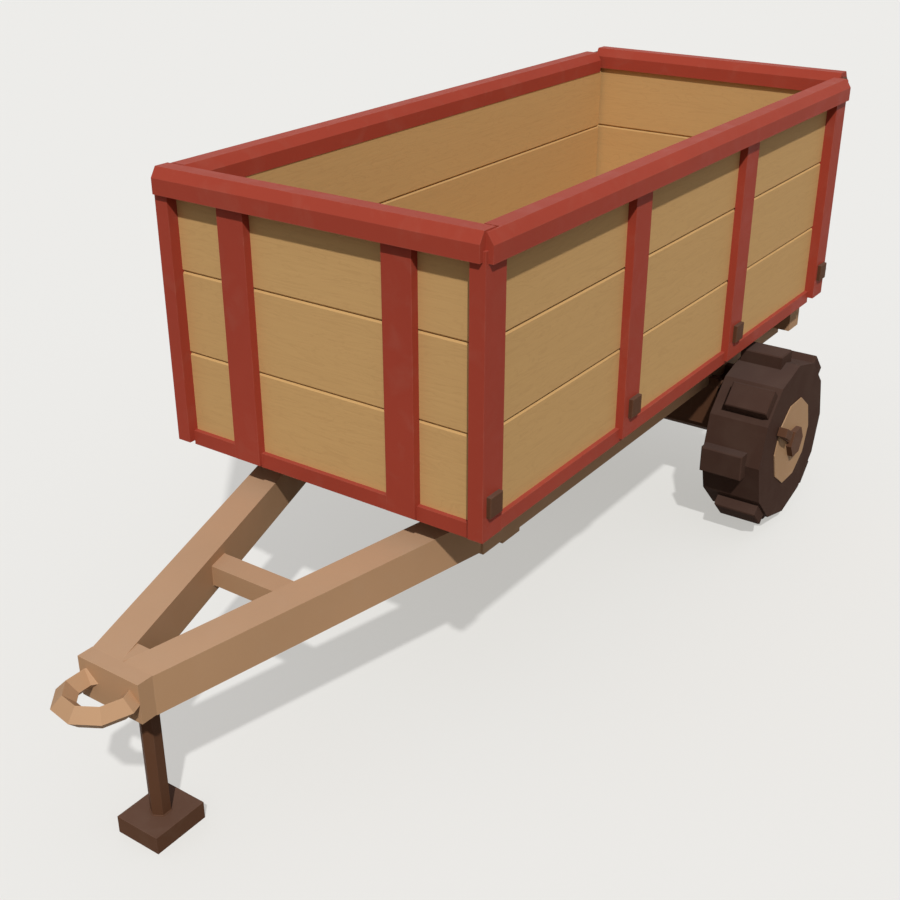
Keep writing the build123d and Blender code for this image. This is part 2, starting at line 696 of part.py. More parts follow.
def jack_pin():
    """Pin between the beams' inner faces, seated against both."""
    pin = cross_pin(JACK_PIN_RADIUS, 4 * beam_inner(JACK_PLACE), JACK_PLACE, 0, JACK_PIN_HEIGHT)
    return pin - drawbar_beam() - mirrored(drawbar_beam())


# Axle and wheels
def axle_bar():
    """Square bar with bevelled edges, without its stubs."""
    beam = Pos(AXLE_PLACE, 0, AXLE_Z) * Box(AXLE_SECTION, 2 * AXLE_HALF, AXLE_SECTION)
    return chamfer(beam.edges().filter_by(Axis.Y), AXLE_BEVEL)


def axle_beam():
    reach = RIM_OUT - RIM_DISC - STUB_END_GAP - AXLE_HALF
    stub = cross_pin(STUB_RADIUS, reach, AXLE_PLACE, AXLE_HALF + reach / 2, AXLE_Z)
    return axle_bar() + stub + mirrored(stub)


def axle_bracket():
    """Left pillar on the axle and under the chassis rail, with two lugs up the rail's outer side."""
    half = AXLE_BRACKET_LENGTH / 2
    rear, front = AXLE_PLACE - half, AXLE_PLACE + half
    inner = CHASSIS_OUTER - CHASSIS_FLANGE
    outer = CHASSIS_OUTER + AXLE_BRACKET_OUT
    pillar = block(rear, front, inner, outer, AXLE_BRACKET_BOTTOM, CHASSIS_BOTTOM) - axle_bar()
    top = CHASSIS_BOTTOM + AXLE_LUG_RISE
    pillar += block(front - AXLE_LUG_LENGTH, front, CHASSIS_OUTER, outer, CHASSIS_BOTTOM, top)
    return pillar + block(rear, rear + AXLE_LUG_LENGTH, CHASSIS_OUTER, outer, CHASSIS_BOTTOM, top)


def axle_bolster():
    """Plates across the front and the back of the axle, between the two pillars."""
    half = AXLE_BRACKET_LENGTH / 2
    inner = CHASSIS_OUTER - CHASSIS_FLANGE
    plates = []
    for side in (1, -1):
        face = AXLE_PLACE + side * half
        back = face - side * BOLSTER_PLATE
        plates.append(block(back, face, -inner, inner, AXLE_BRACKET_BOTTOM, CHASSIS_BOTTOM))
    return plates


def wheel_prism(radius, sides, inner, outer):
    """Regular prism about the axle with a corner straight ahead."""
    face = Plane.XZ.offset(-outer) * Pos(AXLE_PLACE, AXLE_Z) * RegularPolygon(radius, sides)
    return extrude(face, outer - inner)


def tyre():
    """Faceted left tyre with blocks of tread staggered in and out."""
    body = wheel_prism(TYRE_RADIUS, TYRE_SIDES, TYRE_IN, TYRE_OUT)
    root = TYRE_RADIUS * cos(pi / TYRE_SIDES) - LUG_ROOT
    height = LUG_RADIUS - root
    for index in range(LUG_COUNT):
        angle = 90 + index * 360 / LUG_COUNT
        shift = -LUG_STAGGER if index % 2 == 0 else LUG_STAGGER
        lug = Pos(0, 0, (LUG_RADIUS + root) / 2) * Box(LUG_WIDTH, LUG_LENGTH, height)
        lug = chamfer(lug.faces().sort_by(Axis.Z)[-1].edges(), LUG_BEVEL)
        body += Pos(AXLE_PLACE, WHEEL_CENTRE + shift, AXLE_Z) * Rot(0, 90 - angle, 0) * lug
    return body - wheel_prism(RIM_RADIUS - RIM_LIP, RIM_SIDES, TYRE_IN, TYRE_OUT)


def rim():
    """Ten-sided rim: a drum in the tyre closed by a disc near its outer face."""
    drum = wheel_prism(RIM_RADIUS - RIM_LIP, RIM_SIDES, TYRE_IN, TYRE_OUT)
    drum += wheel_prism(RIM_RADIUS, RIM_SIDES, TYRE_OUT, RIM_OUT)
    drum -= wheel_prism(RIM_RADIUS - RIM_LIP - RIM_WALL, RIM_SIDES, TYRE_IN, RIM_OUT - RIM_DISC)
    start = TYRE_IN + RIM_BARREL_SETBACK
    drum += cross_pin(RIM_BARREL_RADIUS, RIM_OUT - start, AXLE_PLACE, (start + RIM_OUT) / 2, AXLE_Z)
    depth = RIM_OUT - RIM_DISC - TYRE_IN
    bore = STUB_RADIUS + STUB_CLEARANCE
    return drum - cross_pin(bore, depth, AXLE_PLACE, TYRE_IN + depth / 2, AXLE_Z)


def hub():
    """Hexagonal cap with a bar from its side, flat on the rim's disc and thicker at its end."""
    cap = wheel_prism(CAP_RADIUS, 6, RIM_OUT, RIM_OUT + CAP_THICKNESS)
    half = HUB_BAR_WIDTH / 2
    inner = HUB_BAR_LENGTH - HUB_BAR_END
    bar = block(0, inner, RIM_OUT, RIM_OUT + HUB_BAR_DEPTH, -half, half)
    bar += block(inner, HUB_BAR_LENGTH, RIM_OUT, RIM_OUT + HUB_BAR_END_DEPTH, -half, half)
    return cap + Pos(AXLE_PLACE, 0, AXLE_Z) * Rot(0, -HUB_BAR_ANGLE, 0) * bar


# Ram, drawn along X from its foot pin and then turned to its closed slope
def ram_place(shape):
    return Pos(RAM_FOOT_PLACE, 0, RAM_FOOT_HEIGHT) * Rot(0, -RAM_ANGLE, 0) * shape


def lug_eye(x):
    return cross_pin(RAM_EYE_RADIUS, RAM_EYE_WIDTH, x, 0, 0)


def eye_hole(x):
    return cross_pin(RAM_PIN_RADIUS + BORE_CLEARANCE, 3 * RAM_EYE_WIDTH, x, 0, 0)


def ram_barrel():
    """Barrel with its eye on a neck, bored for the rod."""
    middle = RAM_NECK + RAM_BARREL_LENGTH / 2
    barrel = Pos(middle, 0, 0) * Rot(0, 90, 0) * Cylinder(RAM_BARREL_RADIUS, RAM_BARREL_LENGTH)
    barrel += lug_eye(0)
    barrel += Pos(RAM_NECK / 2, 0, 0) * Box(RAM_NECK, RAM_EYE_WIDTH, RAM_EYE_WIDTH)
    bore = Pos(middle + RAM_BARREL_END, 0, 0) * Rot(0, 90, 0)
    bore *= Cylinder(RAM_ROD_RADIUS + RAM_ROD_CLEARANCE, RAM_BARREL_LENGTH)
    return ram_place(barrel - eye_hole(0) - bore)


def ram_rod():
    """Rod with its eye on a neck, closed to the bottom of the barrel's bore."""
    start = RAM_NECK + RAM_BARREL_END + RAM_ROD_END_GAP
    end = RAM_CLOSED - RAM_NECK
    rod = Pos((start + end) / 2, 0, 0) * Rot(0, 90, 0) * Cylinder(RAM_ROD_RADIUS, end - start)
    rod += lug_eye(RAM_CLOSED)
    rod += Pos(end + RAM_NECK / 2, 0, 0) * Box(RAM_NECK, RAM_EYE_WIDTH, RAM_EYE_WIDTH)
    return ram_place(rod - eye_hole(RAM_CLOSED))


def ram_member():
    """Cross-member between the chassis rails behind the ram's foot."""
    front = RAM_FOOT_PLACE - RAM_MEMBER_SETBACK
    web = CHASSIS_OUTER - CHASSIS_WALL
    low = CHASSIS_BOTTOM + CHASSIS_WALL
    return block(front, front - RAM_MEMBER_WIDTH, -web, web, low, low + RAM_MEMBER_HEIGHT)


def ram_foot_plates():
    plates = []
    back = RAM_FOOT_PLACE - RAM_MEMBER_SETBACK
    radius = RAM_BOSS_RADIUS
    low = RAM_FOOT_HEIGHT - radius
    high = RAM_FOOT_HEIGHT + radius
    for side in (1, -1):
        near = side * (RAM_EYE_WIDTH / 2 + BRACKET_CLEARANCE)
        far = near + side * RAM_PLATE
        plate = block(back, RAM_FOOT_PLACE, near, far, low, high)
        plate += cross_pin(radius, RAM_PLATE, RAM_FOOT_PLACE, (near + far) / 2, RAM_FOOT_HEIGHT)
        hole = cross_pin(RAM_PIN_RADIUS, 4 * RAM_PLATE, RAM_FOOT_PLACE, near, RAM_FOOT_HEIGHT)
        plates.append(plate - hole)
    return plates


def ram_foot_pin():
    reach = RAM_EYE_WIDTH + 2 * (BRACKET_CLEARANCE + RAM_PLATE + RAM_PIN_END)
    return cross_pin(RAM_PIN_RADIUS, reach, RAM_FOOT_PLACE, 0, RAM_FOOT_HEIGHT)


def ram_head_plates():
    """Plates under the deck beside the rod's eye, each with its end of the pin outside."""
    plates = []
    rear = RAM_HEAD_PLACE - RAM_BOSS_RADIUS
    front = RAM_HEAD_PLACE + RAM_HEAD_PLATE_LENGTH
    for side in (1, -1):
        near = side * (RAM_ROD_RADIUS + BRACKET_CLEARANCE)
        far = near + side * RAM_PLATE
        head = far + side * RAM_PIN_HEAD
        plate = block(rear, front, near, far, RAM_HEAD_HEIGHT, BODY_BOTTOM)
        plate += cross_pin(RAM_BOSS_RADIUS, RAM_PLATE, RAM_HEAD_PLACE, (near + far) / 2, RAM_HEAD_HEIGHT)
        plate += cross_pin(RAM_PIN_RADIUS, RAM_PIN_HEAD, RAM_HEAD_PLACE, (far + head) / 2, RAM_HEAD_HEIGHT)
        plates.append(plate)
    return plates


# Nodes
save("coupling_block", coupling_block())
save("towing_eye", towing_eye())
save("drawbar_beam_left", drawbar_beam())
save("drawbar_beam_right", mirrored(drawbar_beam()))
save("drawbar_cross_bar", cross_bar())
save("jack_leg", jack_leg())
save("jack_pin", jack_pin())
save("jack_foot", jack_foot())
save("chassis_rail_left", chassis_rail())
save("chassis_rail_right", mirrored(chassis_rail()))
save("front_cross_member", front_member())
save("rear_cross_member", rear_member())
save("ram_cross_member", ram_member())
save("tip_brackets", *[twin for plate in tip_brackets() for twin in both(plate)])
save("tip_pins", *both(tip_pin()))
save("axle_beam", axle_beam())
save("axle_bracket_left", axle_bracket())
save("axle_bracket_right", mirrored(axle_bracket()))
save("axle_bolster", *axle_bolster())
save("ram_foot_plates", *ram_foot_plates())
save("ram_foot_pin", ram_foot_pin())

save("ram_barrel", ram_barrel())
save("ram_rod", ram_rod())

save("floor_frame", floor_frame())
save("deck", *deck())
save("floor_joists", *floor_joists())
save("bearer_left", bearer())
save("bearer_right", mirrored(bearer()))
save("ram_head_plates", *ram_head_plates())
for name, front in (("front", 0.0), ("rear", CORNER_POST_LENGTH - BODY_LENGTH)):
    save(f"{name}_post_left", corner_post(front))
    save(f"{name}_post_right", mirrored(corner_post(front)))
save("side_stakes_left", *side_stakes())
save("side_stakes_right", *[mirrored(stake) for stake in side_stakes()])
save("front_stakes", *front_stakes())
save("side_planks_left", *side_planks())
save("side_planks_right", *[mirrored(plank) for plank in side_planks()])
save("front_planks", *front_planks())
save("front_rail", front_rail())
save("side_rail_left", side_rail())
save("side_rail_right", mirrored(side_rail()))
save("cleats_left", *cleats())
save("cleats_right", *[mirrored(cleat) for cleat in cleats()])
save("tailgate_hinge_plates", *both(hinge_plate()))

save("tailgate_rail", tailgate_rail())
save("tailgate_uprights", *both(tailgate_upright()))
save("tailgate_planks", *tailgate_planks())
save("tailgate_stakes", *tailgate_stakes())
save("tailgate_sill", tailgate_sill())

for side, turn in (("left", lambda shape: shape), ("right", mirrored)):
    save(f"tyre_{side}", turn(tyre()))
    save(f"rim_{side}", turn(rim()))
    save(f"hub_{side}", turn(hub()))
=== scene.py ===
# %% [markdown]
# # A farm tipping trailer
# The model of the trailer is already built as plain solids, each at its real place in metres.
# X runs forward to the towing ring, Y to the left side and Z up. This lesson gives the solids
# their finishes, adds the welds, bolts and other small things that hold them together, and
# lights them. Loading comes first, because every later cell asks the solids where they are.

# %% Load the trailer
import json
from math import cos, pi, radians, sin

import bmesh
import bpy
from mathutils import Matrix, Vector


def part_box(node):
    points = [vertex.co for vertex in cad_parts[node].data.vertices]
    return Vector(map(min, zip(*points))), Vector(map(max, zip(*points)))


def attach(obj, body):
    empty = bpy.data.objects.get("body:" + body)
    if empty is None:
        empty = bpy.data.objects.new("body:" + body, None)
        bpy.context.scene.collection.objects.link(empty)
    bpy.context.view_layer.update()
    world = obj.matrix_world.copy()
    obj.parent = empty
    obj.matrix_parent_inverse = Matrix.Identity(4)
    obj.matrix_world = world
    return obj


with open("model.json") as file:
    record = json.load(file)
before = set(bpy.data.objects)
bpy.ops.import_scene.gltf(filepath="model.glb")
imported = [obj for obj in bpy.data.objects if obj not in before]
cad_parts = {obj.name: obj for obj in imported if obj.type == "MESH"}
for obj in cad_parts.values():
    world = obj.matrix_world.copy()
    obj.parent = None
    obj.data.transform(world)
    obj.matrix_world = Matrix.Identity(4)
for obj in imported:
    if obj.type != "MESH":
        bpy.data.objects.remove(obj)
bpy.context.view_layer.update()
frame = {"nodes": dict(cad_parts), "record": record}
solids = frame["nodes"]

# %% [markdown]
# ## The camera
# The photograph was taken from ahead of the left front corner, a metre above the top rail.
# Its place and lens were worked out from the straight edges of the body, so the render can be
# laid over the picture. A camera looks along its own -Z, and `to_track_quat` turns it that way.

# %% Put the camera where the photograph was taken
CAMERA_PLACE = Vector((4.2459, 2.8419, 3.1802))
CAMERA_HEADING = -2.5309
CAMERA_PITCH = -0.4542
CAMERA_LENS = 51.75
SENSOR_WIDTH = 36.0

level = cos(CAMERA_PITCH)
camera_aim = Vector((level * cos(CAMERA_HEADING), level * sin(CAMERA_HEADING), sin(CAMERA_PITCH)))
camera = bpy.data.objects.new("camera", bpy.data.cameras.new("camera"))
camera.data.lens = CAMERA_LENS
camera.data.sensor_width = SENSOR_WIDTH
camera.location = CAMERA_PLACE
camera.rotation_mode = "QUATERNION"
camera.rotation_quaternion = camera_aim.to_track_quat("-Z", "Y")
bpy.context.scene.collection.objects.link(camera)
bpy.context.scene.camera = camera
bpy.context.scene.view_settings.view_transform = "Standard"
print("camera is", round(camera.location.length, 2), "m from the origin")

# %% [markdown]
# ## Small helpers for materials
# Every finish below is a tree of shader nodes. Small helpers keep the trees short to read:
# `add_node` adds a node with its settings, and `start_material` starts a material with a
# Principled shader. Patterns use Object coordinates, which stay on a piece when it moves with
# its joint.

# %% Helpers for shader nodes
def add_node(tree, kind, inputs=None, **settings):
    """Add a node; inputs maps socket names or numbers to values or to sockets to link from."""
    node = tree.nodes.new(kind)
    for name, value in settings.items():
        setattr(node, name, value)
    for key, value in (inputs or {}).items():
        if isinstance(value, bpy.types.NodeSocket):
            tree.links.new(value, node.inputs[key])
        else:
            node.inputs[key].default_value = value
    return node


def start_material(name, roughness):
    """A material with only a Principled shader, its tree and that shader."""
    material = bpy.data.materials.new(name)
    material.use_nodes = True
    tree = material.node_tree
    tree.nodes.clear()
    shader = add_node(tree, "ShaderNodeBsdfPrincipled", {"Roughness": roughness})
    add_node(tree, "ShaderNodeOutputMaterial", {"Surface": shader.outputs["BSDF"]})
    return material, tree, shader


def stretched(tree, scale):
    """Object coordinates, scaled along each axis."""
    place = add_node(tree, "ShaderNodeTexCoord").outputs["Object"]
    return add_node(tree, "ShaderNodeMapping", {"Vector": place, "Scale": scale}).outputs["Vector"]


# %% [markdown]
# ## Small helpers for patterns and colours
# Paint, wood and rubber all vary by soft noise that is stretched, added up and used to mix two
# colours. Each helper here stands for a node or two that come again and again.

# %% Helpers for noise, sums and colours
def cloud(tree, vector, scale, detail=3.0, distortion=0.0):
    """Soft noise from 0 to 1; a larger scale makes smaller spots, more detail rougher ones."""
    inputs = {"Vector": vector, "Scale": scale, "Detail": detail, "Distortion": distortion}
    return add_node(tree, "ShaderNodeTexNoise", inputs).outputs["Fac"]


def remap(tree, value, low, high, start=0.0, end=1.0):
    """Stretch low..high to start..end, held at the ends."""
    inputs = {"Value": value, "From Min": low, "From Max": high, "To Min": start, "To Max": end}
    return add_node(tree, "ShaderNodeMapRange", inputs).outputs["Result"]


def maths(tree, operation, first, second=0.0):
    """One sum with one or two values."""
    return add_node(tree, "ShaderNodeMath", {0: first, 1: second}, operation=operation).outputs[0]


def blend_colours(tree, share, first, second):
    """Mix two colours; either may be a socket or four numbers."""
    mix = add_node(tree, "ShaderNodeMix", data_type="RGBA")
    for name, value in (("Factor", share), ("A", first), ("B", second)):
        kind = "VALUE" if name == "Factor" else "RGBA"
        socket = next(s for s in mix.inputs if s.name == name and s.type == kind)
        if isinstance(value, bpy.types.NodeSocket):
            tree.links.new(value, socket)
        else:
            socket.default_value = value
    return next(s for s in mix.outputs if s.type == "RGBA")


def shade(colour, factor):
    """A colour made darker or lighter, as the four numbers that a socket takes."""
    return (colour[0] * factor, colour[1] * factor, colour[2] * factor, 1.0)


# %% [markdown]
# ## Dust and a painted sheen
# A trailer that stands in a yard has a fine pale dust on everything that looks upwards. The same
# pale tint is also a painted sheen, which lightens the upward faces as the sky's light on them
# would. It could be painted on by hand, but the normal finds those faces by itself. Taken in
# Object space it is the normal of the piece at rest, so the dust and sheen stay put when the
# piece moves.

# %% Dust and a painted sheen where a face looks upwards
# How far a face must look upwards for the first dust and painted sheen, and for all of it.
DUST_AND_SHEEN_STARTS = 0.6
DUST_AND_SHEEN_FULL = 0.98
# A pale colour for dust, which also serves as a painted sheen on upward faces.
DUST_AND_SHEEN_COLOUR = (0.62, 0.54, 0.52, 1.0)


def settle_dust_and_sheen(tree, colour, share):
    """Fine pale dust and a painted sheen over a colour, at most by a share."""
    normal = add_node(tree, "ShaderNodeTexCoord").outputs["Normal"]
    upward = add_node(tree, "ShaderNodeSeparateXYZ", {0: normal}).outputs["Z"]
    # Upward faces get pale dust and a painted sheen.
    dust_and_sheen_share = remap(tree, upward, DUST_AND_SHEEN_STARTS, DUST_AND_SHEEN_FULL, 0.0, share)
    return blend_colours(tree, dust_and_sheen_share, colour, DUST_AND_SHEEN_COLOUR)


# %% [markdown]
# ## Paint on steel
# The frame is brick red and the chassis tan. Real paint on a farm trailer is never one flat
# colour: it fades in broad patches, collects a little dust, and rubs thin on the corners. The
# Bevel node finds corners. It gives the direction a rounded edge would face, and where that
# differs from the flat face there is an edge. A fine noise drives the bump, as brushed-on
# paint has a slight orange-peel skin.

# %% A material for painted steel
EDGE_RADIUS = 0.005
EDGE_WEAR = 0.5
# How well the rounded and the flat direction agree where wear starts, and where it is full.
WEAR_STARTS = 0.995
WEAR_FULL = 0.86
PATCH_DUST = (0.48, 0.40, 0.30, 1.0)

# name, colour, colour where it rubs thin, roughness, dust in patches, gloss, dust and painted sheen on upward
# faces
PAINTS = (
    ("red_paint", (0.335, 0.0485, 0.0270), (0.46, 0.13, 0.09, 1.0), 0.55, 0.04, 0.08, 0.02),
    ("tan_paint", (0.440, 0.255, 0.134), (0.58, 0.37, 0.22, 1.0), 0.6, 0.04, 0.08, 0.07),
    ("dark_brown_paint", (0.098, 0.0425, 0.0215), (0.17, 0.09, 0.06, 1.0), 0.6, 0.03, 0.06, 0.035),
    ("rim_paint", (0.410, 0.240, 0.123), (0.53, 0.34, 0.2, 1.0), 0.6, 0.12, 0.08, 0.02),
)


def painted_steel(name, colour, worn, roughness, dust, gloss, dust_and_sheen):
    """Steel under one coat of paint, faded, dusty and rubbed thin at its edges, with a painted sheen on
    upward faces.
    """
    material, tree, shader = start_material(name, roughness)
    shader.inputs["Specular IOR Level"].default_value = gloss
    place = stretched(tree, (1.0, 1.0, 1.0))
    broad = cloud(tree, place, 1.7, 4.0)
    patches = cloud(tree, place, 9.0, 6.0, 0.6)
    fine = cloud(tree, place, 240.0, 2.0)

    faded = blend_colours(tree, remap(tree, broad, 0.3, 0.7), shade(colour, 0.95), shade(colour, 1.05))
    dusty = blend_colours(tree, remap(tree, patches, 0.52, 0.75, 0.0, dust), faded, PATCH_DUST)
    # Upward faces get pale dust and a painted sheen.
    surface_tone = settle_dust_and_sheen(tree, dusty, dust_and_sheen)

    rounded = add_node(tree, "ShaderNodeBevel", {"Radius": EDGE_RADIUS}, samples=4).outputs["Normal"]
    flat = add_node(tree, "ShaderNodeNewGeometry").outputs["Normal"]
    alike = add_node(tree, "ShaderNodeVectorMath", {0: rounded, 1: flat}, operation="DOT_PRODUCT")
    edge = remap(tree, alike.outputs["Value"], WEAR_STARTS, WEAR_FULL)
    rubbed = maths(tree, "MULTIPLY", edge, remap(tree, patches, 0.42, 0.62, 0.1, EDGE_WEAR))
    tree.links.new(blend_colours(tree, rubbed, surface_tone, worn), shader.inputs["Base Color"])

    relief = maths(tree, "ADD", fine, maths(tree, "MULTIPLY", patches, 0.8))
    bump = add_node(tree, "ShaderNodeBump", {"Height": relief, "Strength": 0.25, "Distance": 0.0006})
    tree.links.new(bump.outputs["Normal"], shader.inputs["Normal"])
    skin = remap(tree, patches, 0.3, 0.7, roughness - 0.07, roughness + 0.1)
    tree.links.new(skin, shader.inputs["Roughness"])
    return material


finishes = {row[0]: painted_steel(*row) for row in PAINTS}
print("paints:", list(finishes))

# %% [markdown]
# ## Measure the boards
# Three boards stand over each other in every wall, and nine lie side by side in the floor. The
# wood needs their widths, because each board gets a tone of its own. They are worked out from
# the deck's own box, so that the wood follows the solids.

# %% Widths of the boards
FLOOR_BOARDS = 9
WALL_BOARDS = 3
# The rails hide the edge of the top board. Its whole height would end here.
WALL_BOARDS_TOP = 1.976

deck_low, deck_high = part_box("deck")
DECK_TOP = deck_high.z
PLANK_PITCH = (WALL_BOARDS_TOP - DECK_TOP) / WALL_BOARDS
BOARD_WIDTH = (deck_high.y - deck_low.y) / FLOOR_BOARDS
print("board pitch in the walls:", round(PLANK_PITCH, 3), "m, in the floor:", round(BOARD_WIDTH, 3), "m")

# %% [markdown]
# ## Wooden planks
# Softwood shows long grain lines along the board, slow changes of tone across it, and a
# slightly different tone from board to board. Stretching the coordinates along the board turns
# round noise into long fibres. Counting how many board widths up a point lies gives each board
# a number, and a White Noise node turns that number into its own tone. The boards run along X
# in the side walls and the floor and along Y in the front wall and the tailgate, so there is
# one material for each direction.

# %% A material for planks
WOOD = (0.552, 0.330, 0.128)
LATE_WOOD = (0.36, 0.19, 0.07, 1.0)
GRAIN_LINES = 9.0
GRAIN_WIDTH = 0.16
GRAIN_DARKNESS = 0.16
FIBRE = (0.40, 0.22, 0.08, 1.0)
FIBRE_DARKNESS = 0.14


def drawn_out(tree, place, along, lengthwise, across):
    """Coordinates with a small scale along the board, which draws a noise out that way."""
    scale = (lengthwise, across, across) if along == "X" else (across, lengthwise, across)
    return add_node(tree, "ShaderNodeMapping", {"Vector": place, "Scale": scale}).outputs["Vector"]


def planks(name, along, counted, first_edge, pitch):
    """Boards along one axis, told apart along another."""
    material, tree, shader = start_material(name, 0.72)
    shader.inputs["Specular IOR Level"].default_value = 0.2
    place = add_node(tree, "ShaderNodeTexCoord").outputs["Object"]
    parts = add_node(tree, "ShaderNodeSeparateXYZ", {0: place}).outputs
    steps = maths(tree, "DIVIDE", maths(tree, "SUBTRACT", parts[counted], first_edge), pitch)
    number = maths(tree, "FLOOR", maths(tree, "MAXIMUM", steps, 0.0))
    side = maths(tree, "SIGN", parts["Y" if along == "X" else "X"])
    # Seven steps a board and three a side, so that no two boards share a key. The middle board of
    # the floor lies on both sides, and its halves differ.
    key = maths(tree, "ADD", maths(tree, "MULTIPLY", number, 7.0), maths(tree, "MULTIPLY", side, 3.0))
    tone = add_node(tree, "ShaderNodeTexWhiteNoise", {"W": key}, noise_dimensions="1D").outputs

    moved = add_node(tree, "ShaderNodeVectorMath", {0: place, 1: tone["Color"]}, operation="ADD").outputs[0]
    figure = cloud(tree, drawn_out(tree, moved, along, 1.2, 9.0), 1.6, 5.0, 1.4)
    fibres = cloud(tree, drawn_out(tree, moved, along, 3.0, 130.0), 1.0, 4.0, 0.2)
    rings = maths(tree, "FRACT", maths(tree, "MULTIPLY", figure, GRAIN_LINES))
    from_line = maths(tree, "ABSOLUTE", maths(tree, "SUBTRACT", rings, 0.5))
    lines = remap(tree, from_line, 0.0, GRAIN_WIDTH)

    tone_share = remap(tree, tone["Value"], 0.0, 1.0)
    base = blend_colours(tree, tone_share, shade(WOOD, 0.96), shade(WOOD, 1.04))
    line_share = remap(tree, lines, 0.0, 1.0, GRAIN_DARKNESS, 0.0)
    ringed = blend_colours(tree, line_share, base, LATE_WOOD)
    fibre_share = remap(tree, fibres, 0.35, 0.7, 0.0, FIBRE_DARKNESS)
    grained = blend_colours(tree, fibre_share, ringed, FIBRE)
    tree.links.new(grained, shader.inputs["Base Color"])

    relief = maths(tree, "ADD", maths(tree, "MULTIPLY", lines, 0.4), fibres)
    bump = add_node(tree, "ShaderNodeBump", {"Height": relief, "Strength": 0.35, "Distance": 0.0008})
    tree.links.new(bump.outputs["Normal"], shader.inputs["Normal"])
    return material


side_wood = planks("side_planks_wood", "X", "Z", DECK_TOP, PLANK_PITCH)
end_wood = planks("end_planks_wood", "Y", "Z", DECK_TOP, PLANK_PITCH)
deck_wood = planks("deck_wood", "X", "Y", deck_low.y, BOARD_WIDTH)
print("woods:", side_wood.name, end_wood.name, deck_wood.name)

# %% [markdown]
# ## Rubber
# The tyres are brown-black and matt. Broad patches are a little darker, some hold a little
# dust, upward faces get a little pale dust and a painted sheen, and a fine noise gives the skin
# of moulded rubber.

# %% A material for the tyres
RUBBER = (0.058, 0.0290, 0.0200)
RUBBER_DUST = (0.30, 0.22, 0.16, 1.0)
# Share of pale dust and painted sheen on the tyres' upward faces.
DUST_AND_SHEEN_ON_RUBBER = 0.03


def tyre_rubber():
    material, tree, shader = start_material("tyre_rubber", 0.82)
    shader.inputs["Specular IOR Level"].default_value = 0.05
    place = stretched(tree, (1.0, 1.0, 1.0))
    patches = cloud(tree, place, 7.0, 5.0, 0.4)
    pores = cloud(tree, place, 420.0, 2.0)
    dust_share = remap(tree, patches, 0.4, 0.75, 0.0, 0.05)
    surface_tone = blend_colours(tree, dust_share, shade(RUBBER, 1.0), RUBBER_DUST)
    dark_share = remap(tree, cloud(tree, place, 2.5), 0.3, 0.7, 0.0, 0.3)
    toned = blend_colours(tree, dark_share, surface_tone, shade(RUBBER, 0.8))
    # Upward faces get pale dust and a painted sheen.
    dust_and_sheen = settle_dust_and_sheen(tree, toned, DUST_AND_SHEEN_ON_RUBBER)
    tree.links.new(dust_and_sheen, shader.inputs["Base Color"])
    bump = add_node(tree, "ShaderNodeBump", {"Height": pores, "Strength": 0.3, "Distance": 0.0005})
    tree.links.new(bump.outputs["Normal"], shader.inputs["Normal"])
    return material


finishes["tyre_rubber"] = tyre_rubber()
print("for the tyres:", finishes["tyre_rubber"].name)

# %% [markdown]
# ## Bright steel for the ram's rod
# The rod that slides in the ram is hard-chromed, with fine lines round it from polishing and
# a film of oil. It is fully metallic, and the noise only varies its roughness.

# %% A material for the chromed rod
DULL_STEEL = (0.52, 0.53, 0.54, 1.0)
BRIGHT_STEEL = (0.66, 0.67, 0.68, 1.0)


def chromed_rod():
    material, tree, shader = start_material("rod_chrome", 0.2)
    shader.inputs["Metallic"].default_value = 1.0
    lines = cloud(tree, stretched(tree, (160.0, 4.0, 160.0)), 1.0, 3.0)
    tree.links.new(blend_colours(tree, lines, DULL_STEEL, BRIGHT_STEEL), shader.inputs["Base Color"])
    tree.links.new(remap(tree, lines, 0.3, 0.7, 0.16, 0.28), shader.inputs["Roughness"])
    return material


finishes["rod_chrome"] = chromed_rod()
print("for the rod:", finishes["rod_chrome"].name)

# %% [markdown]
# ## Dress the solids
# The record says which material slot each solid takes. The wood slot is split by the way the
# boards run. A solid's own mesh is never changed: only its material slot is filled.

# %% Give each solid its finish
wood_by_solid = {
    "deck": deck_wood,
    "front_planks": end_wood,
    "tailgate_planks": end_wood,
    "side_planks_left": side_wood,
    "side_planks_right": side_wood,
}
subparts = frame["record"]["subparts"]
for part in subparts:
    solid = solids[part["node"]]
    solid.data.materials.clear()
    solid.data.materials.append(wood_by_solid.get(part["node"]) or finishes[part["material_slot"]])
print("dressed", len(subparts), "solids")

# %% [markdown]
# ## Where the small parts go
# The small parts below are placed in millimetres from the front face of the corner posts: x
# runs back to negative numbers, y is to the left and z is up from the ground. `at` turns such a
# place into the metres of the frame, and the trailer is the same on both sides of its middle,
# so most lists are written for the left side and flipped. The wheels turn on an axle line that
# is measured from the boxes of a rim and a tyre.

# %% Places and directions
POST_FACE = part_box("front_post_left")[1].x
FORWARD = Vector((1, 0, 0))
LEFT = Vector((0, 1, 0))
UP = Vector((0, 0, 1))
BOTH_SIDES = (1, -1)
BOTH_WHEELS = ((1, "wheel_left"), (-1, "wheel_right"))

rim_low, rim_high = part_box("rim_left")
tyre_low, tyre_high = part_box("tyre_left")
AXLE_X = (rim_low.x + rim_high.x) / 2
AXLE_Z = (tyre_low.z + tyre_high.z) / 2


def at(x, y, z):
    """A place in the frame, from millimetres behind the posts, to the left and up."""
    return Vector((POST_FACE + x / 1000, y / 1000, z / 1000))


def back_from_posts(x):
    """An x of the frame as the millimetres that `at` takes."""
    return (x - POST_FACE) * 1000


def flipped(vector):
    """The same place or direction on the other side of the middle."""
    return Vector((vector.x, -vector.y, vector.z))


def both_sides(rows):
    """Rows of places and directions, then the same rows across the middle."""
    return rows + [[flipped(vector) for vector in row] for row in rows]


